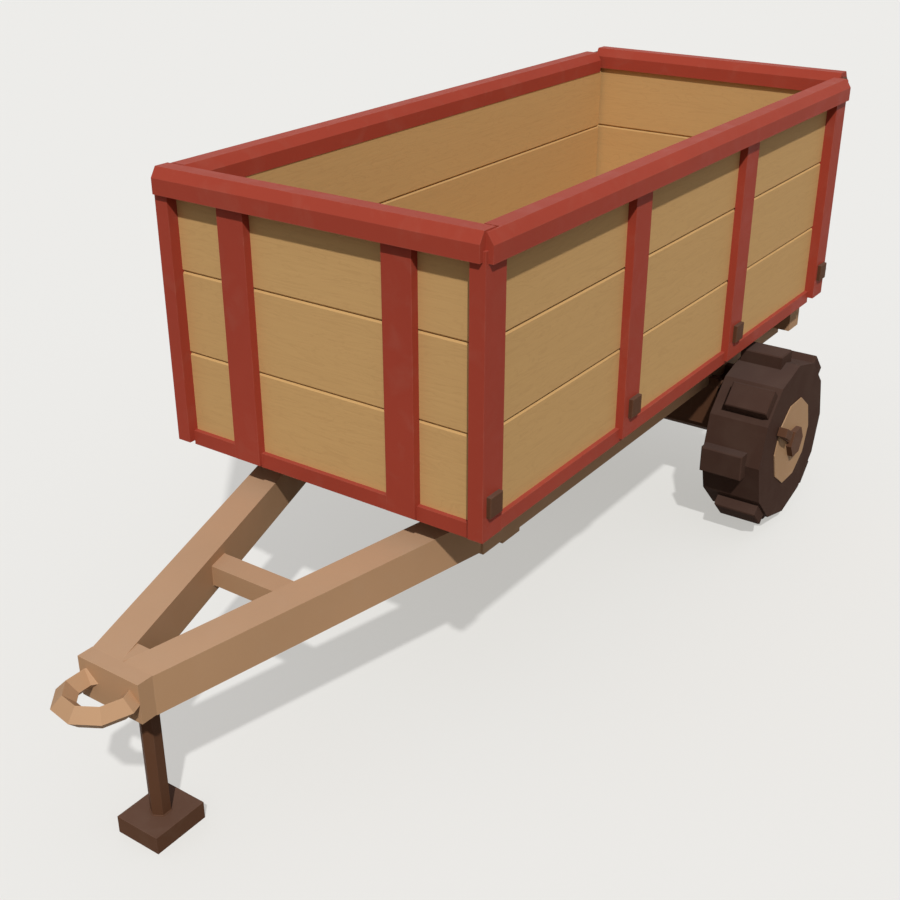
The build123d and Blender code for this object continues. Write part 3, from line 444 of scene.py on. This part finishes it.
print("front of the corner posts at x =", round(POST_FACE, 3), "m, axle at x =", round(AXLE_X, 3), "m")

# %% [markdown]
# ## Growing pieces with Geometry Nodes
# Bolts, screws and weld beads come many times over. Each kind is drawn once in a small node
# tree, and a bare mesh says where: loose points for bolts, lines for welds. Nodes fit this job
# well, because one size changed in the tree changes every copy. The result is then turned into
# a plain mesh, which rides on its body like any other piece.

# %% Start, end and run a node tree
def start_tree(name, sizes):
    """A tree with a geometry input, named sizes and a finish; gives back those sockets."""
    tree = bpy.data.node_groups.new(name, "GeometryNodeTree")
    tree.interface.new_socket("Geometry", in_out="INPUT", socket_type="NodeSocketGeometry")
    for label in sizes:
        tree.interface.new_socket(label, in_out="INPUT", socket_type="NodeSocketFloat")
    tree.interface.new_socket("Finish", in_out="INPUT", socket_type="NodeSocketMaterial")
    tree.interface.new_socket("Geometry", in_out="OUTPUT", socket_type="NodeSocketGeometry")
    return tree, tree.nodes.new("NodeGroupInput").outputs


def end_tree(tree, grown, finish):
    """Make the copies real, give them the finish and send them out."""
    real = add_node(tree, "GeometryNodeRealizeInstances", {"Geometry": grown})
    dressed = add_node(tree, "GeometryNodeSetMaterial", {"Geometry": real.outputs[0], "Material": finish})
    add_node(tree, "NodeGroupOutput", {0: dressed.outputs[0]})


def add_piece(name, mesh, body):
    """Put a mesh in the scene under a given name, on the body that carries it."""
    piece = bpy.data.objects.new(name, mesh)
    bpy.context.scene.collection.objects.link(piece)
    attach(piece, body)


def grow(name, base, tree, sizes, body, slot):
    """Run a tree on a bare mesh and keep the result as a plain piece."""
    seedbed = bpy.data.objects.new(name + "_base", base)
    bpy.context.scene.collection.objects.link(seedbed)
    recipe = seedbed.modifiers.new("recipe", "NODES")
    recipe.node_group = tree
    for socket in tree.interface.items_tree:
        if socket.in_out == "INPUT" and socket.name != "Geometry":
            recipe[socket.identifier] = finishes[slot] if socket.name == "Finish" else sizes[socket.name]
    evaluated = seedbed.evaluated_get(bpy.context.evaluated_depsgraph_get())
    mesh = bpy.data.meshes.new_from_object(evaluated)
    bpy.data.objects.remove(seedbed)
    mesh.name = name
    add_piece(name, mesh, body)
    print(name, "on", body, "has", len(mesh.polygons), "faces")


# %% [markdown]
# ## A fastener on every point
# Each fastener stands on a loose point. The points carry an attribute called facing, and Align
# Rotation to Vector turns each copy that way. A bolt stops at any angle when it is tight, so
# each copy also gets its own turn, from a fixed seed.

# %% Points, and copies on them
TURN_SEED = 11
# Random Value has sockets for each kind of number. These are the least and the most of the
# decimal ones, and the seed.
LEAST, MOST, SEED = 2, 3, 8


def put_on_points(tree, points, instance):
    """Copy an instance to every point, facing its way and turned by its own amount."""
    facing = add_node(tree, "GeometryNodeInputNamedAttribute", {"Name": "facing"}, data_type="FLOAT_VECTOR")
    way = {"Vector": facing.outputs["Attribute"]}
    upright = add_node(tree, "FunctionNodeAlignRotationToVector", way, axis="Z").outputs[0]
    span = {LEAST: 0.0, MOST: 2 * pi, SEED: TURN_SEED}
    chance = add_node(tree, "FunctionNodeRandomValue", span, data_type="FLOAT").outputs[1]
    turn = add_node(tree, "FunctionNodeAxisAngleToRotation", {"Axis": UP, "Angle": chance}).outputs[0]
    both = {"Rotation": upright, "Rotate By": turn}
    rotation = add_node(tree, "FunctionNodeRotateRotation", both, rotation_space="LOCAL").outputs[0]
    inputs = {"Points": points, "Instance": instance, "Rotation": rotation}
    return add_node(tree, "GeometryNodeInstanceOnPoints", inputs).outputs[0]


def marks(name, rows):
    """Loose points that remember which way their fastener faces."""
    mesh = bpy.data.meshes.new(name)
    mesh.from_pydata([place for place, way in rows], [], [])
    facing = mesh.attributes.new("facing", "FLOAT_VECTOR", "POINT")
    for point, (place, way) in zip(facing.data, rows):
        point.vector = way
    return mesh


# %% [markdown]
# ## Bolts and screws
# A bolt is a washer with a six-sided head on it, and its head tapers a little, as a forged one
# does. Coach bolts and screws have low domed heads. Cone, cylinder and ball nodes are enough
# for them at this size, and one small tree makes all the heads of a kind.

# %% Trees for hexagon heads and domed heads
HEAD_TAPER = 0.9
WASHER_SHARE = 0.85


def lifted(tree, shape, height):
    """A shape moved up by a height."""
    offset = add_node(tree, "ShaderNodeCombineXYZ", {"Z": height}).outputs[0]
    return add_node(tree, "GeometryNodeTransform", {"Geometry": shape, "Translation": offset}).outputs[0]


def hexagon_bolt_tree():
    tree, given = start_tree("hexagon_bolts", ("Across", "Height", "Washer"))
    corner = maths(tree, "DIVIDE", given["Across"], 2 * cos(pi / 6))
    top_corner = maths(tree, "MULTIPLY", corner, HEAD_TAPER)
    sizes = {"Vertices": 6, "Radius Bottom": corner, "Radius Top": top_corner, "Depth": given["Height"]}
    head = add_node(tree, "GeometryNodeMeshCone", sizes).outputs[0]
    rim = maths(tree, "MULTIPLY", given["Across"], WASHER_SHARE)
    sizes = {"Vertices": 18, "Radius": rim, "Depth": given["Washer"]}
    washer = add_node(tree, "GeometryNodeMeshCylinder", sizes).outputs[0]
    both = add_node(tree, "GeometryNodeJoinGeometry")
    half = maths(tree, "MULTIPLY", given["Washer"], 0.5)
    for shape in (lifted(tree, head, given["Washer"]), lifted(tree, washer, half)):
        tree.links.new(shape, both.inputs[0])
    end_tree(tree, put_on_points(tree, given["Geometry"], both.outputs[0]), given["Finish"])
    return tree


def domed_head_tree():
    tree, given = start_tree("domed_heads", ("Across", "Height"))
    ball = add_node(tree, "GeometryNodeMeshUVSphere", {"Segments": 12, "Rings": 6, "Radius": 1.0}).outputs[0]
    radius = maths(tree, "MULTIPLY", given["Across"], 0.5)
    size = add_node(tree, "ShaderNodeCombineXYZ", {"X": radius, "Y": radius, "Z": given["Height"]}).outputs[0]
    dome = add_node(tree, "GeometryNodeTransform", {"Geometry": ball, "Scale": size}).outputs[0]
    smooth = add_node(tree, "GeometryNodeSetShadeSmooth", {0: dome}).outputs[0]
    end_tree(tree, put_on_points(tree, given["Geometry"], smooth), given["Finish"])
    return tree


hexagon_bolts = hexagon_bolt_tree()
domed_heads = domed_head_tree()
print("fastener trees:", hexagon_bolts.name, domed_heads.name)

# %% [markdown]
# ## Bolts of the running gear
# The axle brackets hang from the chassis rails by bolts through their lugs, with nuts inside
# the rail, and the front cross-member is bolted up into the rails from below. Each wheel disc
# has a ring of nuts on its inner side, and the hinge pins of the tailgate are riveted over.

# %% Bolts on the chassis, the wheels and the hinge
# Sizes of the heads, in metres.
BIG_BOLT = {"Across": 0.024, "Height": 0.013, "Washer": 0.003}
WHEEL_NUT = {"Across": 0.027, "Height": 0.016, "Washer": 0.003}
PIN_HEAD = {"Across": 0.034, "Height": 0.006}

# Places in millimetres, as `at` takes them.
LUG_BOLTS_X = (-2340, -2530)
LUG_BOLT_Z = 696
LUG_FACE = 572
RAIL_INNER_FACE = 514
MEMBER_BOLTS_X = (-598, -562)
MEMBER_BOLT_Y = 458
MEMBER_BOTTOM = 626
HINGE_END = at(-3264.5, 700, 2007)

# The ring of nuts, in metres.
NUTS = 6
NUT_RING = 0.135
DISC_BACK = 0.910

lugs = [[at(x, LUG_FACE, LUG_BOLT_Z), LEFT] for x in LUG_BOLTS_X]
lugs += [[at(x, RAIL_INNER_FACE, LUG_BOLT_Z), -LEFT] for x in LUG_BOLTS_X]
lug_marks = marks("lugs", both_sides(lugs))
grow("axle_lug_bolts", lug_marks, hexagon_bolts, BIG_BOLT, "chassis", "dark_brown_paint")

member = [[at(x, MEMBER_BOLT_Y, MEMBER_BOTTOM), -UP] for x in MEMBER_BOLTS_X]
member_marks = marks("member", both_sides(member))
grow("cross_member_bolts", member_marks, hexagon_bolts, BIG_BOLT, "chassis", "tan_paint")

for side, body in BOTH_WHEELS:
    ring = []
    for step in range(NUTS):
        turn = 2 * pi * (step + 0.5) / NUTS
        place = Vector((AXLE_X + NUT_RING * cos(turn), side * DISC_BACK, AXLE_Z + NUT_RING * sin(turn)))
        ring.append([place, -side * LEFT])
    grow(body + "_nuts", marks("ring", ring), hexagon_bolts, WHEEL_NUT, body, "dark_brown_paint")

hinge_marks = marks("hinge", both_sides([[HINGE_END, LEFT]]))
grow("hinge_pin_heads", hinge_marks, domed_heads, PIN_HEAD, "tailgate", "red_paint")

# %% [markdown]
# ## Coach bolts in the tailgate and screws in the floor
# The tailgate's planks are held to its stakes by coach bolts, painted over with the stakes.
# The floor boards are screwed down, two screws to a board, wherever they cross a joist or an
# end of the frame under them.

# %% Domed heads on the tailgate and the deck
COACH_BOLT = {"Across": 0.02, "Height": 0.005}
SCREW_HEAD = {"Across": 0.011, "Height": 0.0018}
COACH_COLUMNS = (340, 400, 660)
COACH_HEIGHTS = (1055, 1225, 1400, 1565, 1730, 1885)
JOISTS_X = (-350, -1450, -2000, -2550)
SCREW_ROWS = (-115, *JOISTS_X, -3085)
SCREW_OFFSET = 0.04

gate_back = back_from_posts(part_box("tailgate_stakes")[0].x)
coach = [[at(gate_back, y, z), -FORWARD] for y in COACH_COLUMNS for z in COACH_HEIGHTS]
coach_marks = marks("coach", both_sides(coach))
grow("tailgate_coach_bolts", coach_marks, domed_heads, COACH_BOLT, "tailgate", "red_paint")

screws = []
for board in range(FLOOR_BOARDS):
    middle = deck_low.y + (board + 0.5) * BOARD_WIDTH
    for x in SCREW_ROWS:
        for offset in (-SCREW_OFFSET, SCREW_OFFSET):
            screws.append([Vector((at(x, 0, 0).x, middle + offset, DECK_TOP)), UP])
screw_marks = marks("screws", screws)
grow("deck_screws", screw_marks, domed_heads, SCREW_HEAD, "tipping_body", "dark_brown_paint")

# %% [markdown]
# ## Weld beads
# Plates and members are welded where they meet. A weld bead is a rounded run with ripples
# across it, left by the moving pool of metal. The lines are turned into curves, Resample Curve
# sets points a third of a ripple apart, and a sine along the length makes the round profile
# swell and shrink. Half of the bead lies inside the corner that it fills.

# %% A tree for weld beads
RIPPLE_SWELL = 0.16
BEAD_SIDES = 7
STEPS_PER_RIPPLE = 3.0


def weld_bead_tree():
    tree, given = start_tree("weld_beads", ("Radius", "Ripple"))
    line = add_node(tree, "GeometryNodeMeshToCurve", {"Mesh": given["Geometry"]}).outputs[0]
    step = maths(tree, "DIVIDE", given["Ripple"], STEPS_PER_RIPPLE)
    spaced = {"Curve": line, "Length": step}
    fine = add_node(tree, "GeometryNodeResampleCurve", spaced, mode="LENGTH").outputs[0]
    along = add_node(tree, "GeometryNodeSplineParameter").outputs["Length"]
    phase = maths(tree, "MULTIPLY", maths(tree, "DIVIDE", along, given["Ripple"]), 2 * pi)
    wave = maths(tree, "MULTIPLY", maths(tree, "SINE", phase), RIPPLE_SWELL)
    swell = maths(tree, "ADD", wave, 1.0)
    circle = {"Resolution": BEAD_SIDES, "Radius": given["Radius"]}
    ring = add_node(tree, "GeometryNodeCurvePrimitiveCircle", circle).outputs[0]
    inputs = {"Curve": fine, "Profile Curve": ring, "Scale": swell, "Fill Caps": True}
    bead = add_node(tree, "GeometryNodeCurveToMesh", inputs).outputs[0]
    smooth = add_node(tree, "GeometryNodeSetShadeSmooth", {0: bead}).outputs[0]
    end_tree(tree, smooth, given["Finish"])
    return tree


def runs(name, rows):
    """A bare mesh with one line through each row of places."""
    places, edges = [], []
    for row in rows:
        edges += [(len(places) + i, len(places) + i + 1) for i in range(len(row) - 1)]
        places += row
    mesh = bpy.data.meshes.new(name)
    mesh.from_pydata(places, edges, [])
    return mesh


weld_beads = weld_bead_tree()
print("weld tree:", weld_beads.name)

# %% [markdown]
# ## Lay the welds
# The tan chassis has beads along its cross-members and the drawbar's cross bar. The dark ones
# hold the tip brackets, the axle, the ram's foot plates and the tailgate's hinge plates. The
# joists have red ones in their corners with the long bearers, and one runs round the jack's leg
# where it stands on its foot.

# %% Beads on each body
# Sizes in metres, and places in millimetres as `at` takes them.
BEAD = {"Radius": 0.0045, "Ripple": 0.006}
THIN_BEAD = {"Radius": 0.0035, "Ripple": 0.005}
FRONT_MEMBER_EDGES = (-633, -509)
TIP_PLATE_FACES = (425, 515)
BRACKET_SIDES = (442, 572)
BOLSTER_FACES = (-2332, -2538)
JOIST_HALF = 25
BEARER_SIDES = (440, 500)
JACK_X = 913
JACK_LEG_CORNER = 38
JACK_LEG_SIDES = 6
JACK_FOOT_TOP = 69

# The front, the ram's and the rear cross-member on the rails, and the cross bar on its beam.
tan = [[at(x, 446, 676), at(x, 518, 676)] for x in FRONT_MEMBER_EDGES]
tan.append([at(-2015, 513, 790), at(-2015, 513, 684), at(-1925, 513, 684), at(-1925, 513, 790)])
tan.append([at(409, 172, 669), at(316, 198.5, 669), at(316, 198.5, 746)])
tan.append([at(-3082, 442, 746), at(-3082, 442, 860)])
grow("chassis_welds", runs("tan_runs", both_sides(tan)), weld_beads, BEAD, "chassis", "tan_paint")

# The tip brackets, the axle brackets on the axle, the bolster on them, and the ram's foot plates.
dark = [[at(-3152, y, 806), at(-3088, y, 806)] for y in TIP_PLATE_FACES]
dark += [[at(-2458, y, 490), at(-2412, y, 490)] for y in BRACKET_SIDES]
dark += [[at(x, 442, 492), at(x, 442, 674)] for x in BOLSTER_FACES]
dark.append([at(-1925, 42, 687), at(-1925, 42, 730)])
grow("bracket_welds", runs("dark_runs", both_sides(dark)), weld_beads, BEAD, "chassis", "dark_brown_paint")

red = []
for x in JOISTS_X:
    for edge in (-JOIST_HALF, JOIST_HALF):
        red += [[at(x + edge, y, 908), at(x + edge, y, 944)] for y in BEARER_SIDES]
grow("joist_welds", runs("joist_runs", both_sides(red)), weld_beads, BEAD, "tipping_body", "red_paint")

hinge = [[at(-3200, 697, 1936), at(-3200, 697, 1775), at(-3200, 686, 1775)]]
hinge_runs = runs("hinge_runs", both_sides(hinge))
grow("hinge_plate_welds", hinge_runs, weld_beads, THIN_BEAD, "tipping_body", "dark_brown_paint")

round_leg = []
for step in range(JACK_LEG_SIDES + 1):
    turn = 2 * pi * step / JACK_LEG_SIDES
    corner = at(JACK_X + JACK_LEG_CORNER * cos(turn), JACK_LEG_CORNER * sin(turn), JACK_FOOT_TOP)
    round_leg.append(corner)
foot_runs = runs("foot_run", [round_leg])
grow("jack_foot_weld", foot_runs, weld_beads, THIN_BEAD, "jack", "dark_brown_paint")

# %% [markdown]
# ## Turned parts
# Anything made on a lathe can be built from its profile: pairs of a distance along an axis and
# a radius. Joining ring after ring gives a closed shape, with the same function for a thin
# nipple and a thick collar.

# %% Turn a profile
def turned(builder, profile, place, axis, steps=20):
    """Revolve (millimetres along, radius) pairs round an axis through a place."""
    along = axis.normalized()
    across = along.orthogonal().normalized()
    third = along.cross(across)
    rings = []
    for distance, radius in profile:
        centre = place + along * distance / 1000
        angles = [2 * pi * step / steps for step in range(steps if radius else 1)]
        ways = [across * cos(angle) + third * sin(angle) for angle in angles]
        rings.append([builder.verts.new(centre + way * radius / 1000) for way in ways])
    for first, second in zip(rings, rings[1:]):
        for i in range(steps):
            j = i + 1
            corners = [first[i % len(first)], first[j % len(first)]]
            corners += [second[j % len(second)], second[i % len(second)]]
            builder.faces.new(list(dict.fromkeys(corners)))


# %% [markdown]
# ## Plates, and the last step of a piece
# A plate is its outline, pushed along a direction by its thickness. A window is a second outline
# of as many corners, and the faces then run between the two. A finished shape gets a fine
# chamfer where it is asked for, and smooth shading with sharp edges where the angle is steep,
# which keeps the corners crisp.

# %% Push out a plate and finish a piece
CREASE = radians(32)


def slab(builder, outline, sweep, window=()):
    """A plate: an outline pushed along a vector, with a window of as many corners if one is given."""
    outlines = [outline, window] if window else [outline]
    near = [[builder.verts.new(place) for place in ring] for ring in outlines]
    far = [[builder.verts.new(place + sweep) for place in ring] for ring in outlines]
    for first, second in zip(near, far):
        for i in range(len(first)):
            j = (i + 1) % len(first)
            builder.faces.new((first[i], first[j], second[j], second[i]))
    for rings in (near, far):
        if not window:
            builder.faces.new(rings[0])
            continue
        outer, inner = rings
        for i in range(len(window)):
            j = (i + 1) % len(window)
            builder.faces.new((outer[i], outer[j], inner[j], inner[i]))


def finish_piece(name, builder, body, slot, chamfer=0.0):
    """Chamfer the shape by some metres if asked, face it outwards and make it a piece."""
    if chamfer:
        bmesh.ops.bevel(builder, geom=builder.edges[:], offset=chamfer, segments=1, affect="EDGES")
    bmesh.ops.recalc_face_normals(builder, faces=builder.faces[:])
    mesh = bpy.data.meshes.new(name)
    builder.to_mesh(mesh)
    builder.free()
    mesh.shade_smooth()
    mesh.set_sharp_from_angle(angle=CREASE)
    mesh.materials.append(finishes[slot])
    add_piece(name, mesh, body)
    print(name, "on", body, "has", len(mesh.polygons), "faces")


# %% [markdown]
# ## Grease nipples, valves and the ram's fittings
# The tipping pins are greased through a nipple at their outer ends. Each wheel has a rubber
# valve on the inner side of its disc. The ram's barrel is closed by a gland collar that seals
# the rod, and a plugged oil port stands near its foot, because the photograph shows no hose.

# %% Turn the small fittings
# Each profile is pairs of millimetres: along the axis, and the radius there.
NIPPLE = ((0, 0), (0, 5), (3, 5), (3.6, 3), (7.5, 2.6), (8.5, 3.6), (10.5, 3.6), (12, 1.6), (12, 0))
VALVE = ((0, 0), (0, 7.5), (6, 6.5), (9, 4.5), (24, 4), (24, 4.6), (33, 4.6), (34, 3.8), (34, 0))
COLLAR = ((0, 51), (0, 54.5), (2, 56.5), (24, 56.5), (26, 54.5), (26, 31), (24, 31))
PORT = ((0, 0), (0, 15), (14, 15), (16, 13), (16, 9), (22, 9), (23, 8), (23, 0))
# Where the hole of a wheel's valve is below the axle, in metres.
VALVE_DROP = 0.165

# The ram's two ends, and millimetres along it from its foot or out from its axis.
RAM_FOOT = at(-1850, 0, 700)
RAM_HEAD = at(-700, 0, 895)
BARREL_END = 1042
COLLAR_OVERLAP = 25
PORT_PLACE = 105
PORT_OUT = 48

builder = bmesh.new()
for side in BOTH_SIDES:
    turned(builder, NIPPLE, at(-3120, side * 520, 905.25), side * LEFT, 12)
finish_piece("tip_pin_nipples", builder, "chassis", "rod_chrome")

for side, body in BOTH_WHEELS:
    builder = bmesh.new()
    seat = Vector((AXLE_X, side * DISC_BACK, AXLE_Z - VALVE_DROP))
    turned(builder, VALVE, seat, -side * LEFT, 12)
    finish_piece(body + "_valve", builder, body, "tyre_rubber")

ram_way = (RAM_HEAD - RAM_FOOT).normalized()
builder = bmesh.new()
collar_seat = RAM_FOOT + ram_way * (BARREL_END - COLLAR_OVERLAP) / 1000
port_seat = RAM_FOOT + ram_way * PORT_PLACE / 1000 + LEFT * PORT_OUT / 1000
turned(builder, COLLAR, collar_seat, ram_way, 36)
turned(builder, PORT, port_seat, LEFT, 18)
finish_piece("ram_gland_and_port", builder, "ram_barrel", "dark_brown_paint")

# %% [markdown]
# ## Tailgate latches
# At each lower corner the tailgate carries an angle of plate with a slot in it. When the gate
# shuts, a tongue welded to the rear post comes through the slot, and a pin through the tongue
# keeps it shut. The slot is wider than the tongue all round, so the gate swings free of it.

# %% Make the latches
# Outlines for the left side, in the millimetres that `at` takes.
EAR_LEG = ((-3300, 680, 1030), (-3228, 680, 1030), (-3228, 680, 1090), (-3300, 680, 1090))
EAR_FACE = ((-3228, 680, 1030), (-3228, 726, 1030), (-3228, 726, 1090), (-3228, 680, 1090))
EAR_SLOT = ((-3228, 697, 1040), (-3228, 713, 1040), (-3228, 713, 1080), (-3228, 697, 1080))
TONGUE = ((-3200, 702, 1046), (-3252, 702, 1046), (-3262, 702, 1053),
          (-3262, 702, 1067), (-3252, 702, 1074), (-3200, 702, 1074))
LATCH_PIN = ((0, 0), (0, 4.5), (2, 5.5), (30, 5.5), (30, 9), (35, 9), (36, 8), (36, 0))
EAR_PLATE = 5
TONGUE_PLATE = 7
LATCH_CHAMFER = 0.0008


def on_side(side, outline):
    """The places of an outline, on the left side for 1 and on the right for -1."""
    return [at(x, side * y, z) for x, y, z in outline]


ears, tongues, pins = bmesh.new(), bmesh.new(), bmesh.new()
for side in BOTH_SIDES:
    slab(ears, on_side(side, EAR_LEG), side * LEFT * EAR_PLATE / 1000)
    slab(ears, on_side(side, EAR_FACE), FORWARD * EAR_PLATE / 1000, on_side(side, EAR_SLOT))
    slab(tongues, on_side(side, TONGUE), side * LEFT * TONGUE_PLATE / 1000)
    turned(pins, LATCH_PIN, at(-3244, side * 689, 1060), side * LEFT, 14)
finish_piece("tailgate_latch_plates", ears, "tailgate", "dark_brown_paint", LATCH_CHAMFER)
finish_piece("latch_tongues", tongues, "tipping_body", "dark_brown_paint", LATCH_CHAMFER)
finish_piece("latch_pins", pins, "tipping_body", "rod_chrome")

# %% [markdown]
# ## A lip at the end of the floor
# The tailgate hangs a little behind the end of the floor. A folded steel lip, welded on the
# floor's end, carries the load over that gap. It stops short of the gate, which swings free.

# %% Fold the lip
# In millimetres, apart from the chamfer.
LIP_CLEARANCE = 6
LIP_OVERLAP = 50
LIP_PLATE = 3
LIP_DROP = 4
LIP_HALF = 634
LIP_CHAMFER = 0.0005

floor_end = back_from_posts(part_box("floor_frame")[0].x)
lip_front = floor_end + LIP_OVERLAP
lip_fold = floor_end - 1
lip_end = back_from_posts(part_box("tailgate_planks")[1].x) + LIP_CLEARANCE
lip_seat = DECK_TOP * 1000
lip_top = lip_seat + LIP_PLATE
profile = [(lip_front, lip_seat), (lip_front, lip_top), (lip_fold, lip_top)]
profile += [(lip_end, lip_top - LIP_DROP), (lip_end, lip_seat - LIP_DROP), (lip_fold, lip_seat)]
builder = bmesh.new()
slab(builder, [at(x, -LIP_HALF, z) for x, z in profile], LEFT * 2 * LIP_HALF / 1000)
finish_piece("floor_lip", builder, "tipping_body", "red_paint", LIP_CHAMFER)

# %% [markdown]
# ## The floor
# The photograph has a plain pale ground with soft grey shadows. The floor shows its pale colour
# to the camera and to reflections, and bounces only a little light upwards, which keeps the
# shaded faces as deep as they are in the picture. The Light Path node tells the two apart.

# %% Make the floor
FLOOR_HALF = 60.0
FLOOR_COLOUR = (0.36, 0.357, 0.345, 1.0)
FLOOR_GLOW = (0.464, 0.455, 0.430, 1.0)
FLOOR_BOUNCE = (0.17, 0.165, 0.155, 1.0)


def seen_directly(tree):
    """1 for a ray from the camera, a mirrored one or one through glass, and 0 for the others."""
    ray = add_node(tree, "ShaderNodeLightPath").outputs
    seen = maths(tree, "MAXIMUM", ray["Is Camera Ray"], ray["Is Glossy Ray"])
    return maths(tree, "MAXIMUM", seen, ray["Is Transmission Ray"])


def floor_material():
    material, tree, shader = start_material("pale_floor", 0.9)
    output = next(node for node in tree.nodes if node.type == "OUTPUT_MATERIAL")
    shader.inputs["Specular IOR Level"].default_value = 0.0
    shader.inputs["Base Color"].default_value = FLOOR_COLOUR
    glow = add_node(tree, "ShaderNodeEmission", {"Color": FLOOR_GLOW, "Strength": 1.0})
    shown = add_node(tree, "ShaderNodeAddShader", {0: shader.outputs["BSDF"], 1: glow.outputs[0]})
    bounce = add_node(tree, "ShaderNodeBsdfDiffuse", {"Color": FLOOR_BOUNCE})
    choice = {0: seen_directly(tree), 1: bounce.outputs[0], 2: shown.outputs[0]}
    mix = add_node(tree, "ShaderNodeMixShader", choice)
    tree.links.new(mix.outputs[0], output.inputs["Surface"])
    return material


corners = [(x * FLOOR_HALF, y * FLOOR_HALF, 0) for x, y in ((-1, -1), (1, -1), (1, 1), (-1, 1))]
floor_mesh = bpy.data.meshes.new("floor")
floor_mesh.from_pydata(corners, [], [(0, 1, 2, 3)])
floor_mesh.materials.append(floor_material())
floor = bpy.data.objects.new("floor", floor_mesh)
bpy.context.scene.collection.objects.link(floor)
print("floor:", 2 * FLOOR_HALF, "m square")

# %% [markdown]
# ## The light
# One strong light comes from the front left, high up, and a soft light from all round, a little
# stronger and bluer overhead. A sun lamp fits, as its shadows run parallel. Its direction comes
# from the shadows in the photograph: for each metre of height they move 0.72 m back and 0.58 m
# to the right. The camera sees a pale backdrop in place of the soft light.

# %% Make the lights
SUN_WAY = Vector((-0.72, -0.579, -1.0))
SUN_ENERGY = 2.87
SUN_SPREAD = radians(1.6)
SKY_AT_HORIZON = (0.31, 0.31, 0.31, 1.0)
SKY_OVERHEAD = (0.43, 0.45, 0.52, 1.0)
BACKDROP = (0.831, 0.823, 0.791, 1.0)


def studio_world():
    world = bpy.data.worlds.new("studio")
    world.use_nodes = True
    tree = world.node_tree
    tree.nodes.clear()
    way = add_node(tree, "ShaderNodeTexCoord").outputs["Generated"]
    height = add_node(tree, "ShaderNodeSeparateXYZ", {0: way}).outputs["Z"]
    overhead = blend_colours(tree, height, SKY_AT_HORIZON, SKY_OVERHEAD)
    soft = add_node(tree, "ShaderNodeBackground", {"Color": overhead, "Strength": 1.0})
    backdrop = add_node(tree, "ShaderNodeBackground", {"Color": BACKDROP, "Strength": 1.0})
    choice = {0: seen_directly(tree), 1: soft.outputs[0], 2: backdrop.outputs[0]}
    sky = add_node(tree, "ShaderNodeMixShader", choice)
    add_node(tree, "ShaderNodeOutputWorld", {"Surface": sky.outputs[0]})
    return world


sun = bpy.data.objects.new("sun", bpy.data.lights.new("sun", "SUN"))
sun.data.energy = SUN_ENERGY
sun.data.angle = SUN_SPREAD
sun.rotation_mode = "QUATERNION"
sun.rotation_quaternion = SUN_WAY.to_track_quat("-Z", "Y")
bpy.context.scene.collection.objects.link(sun)
bpy.context.scene.world = studio_world()
print("sun energy", round(sun.data.energy, 2), "spread", round(sun.data.angle, 3))
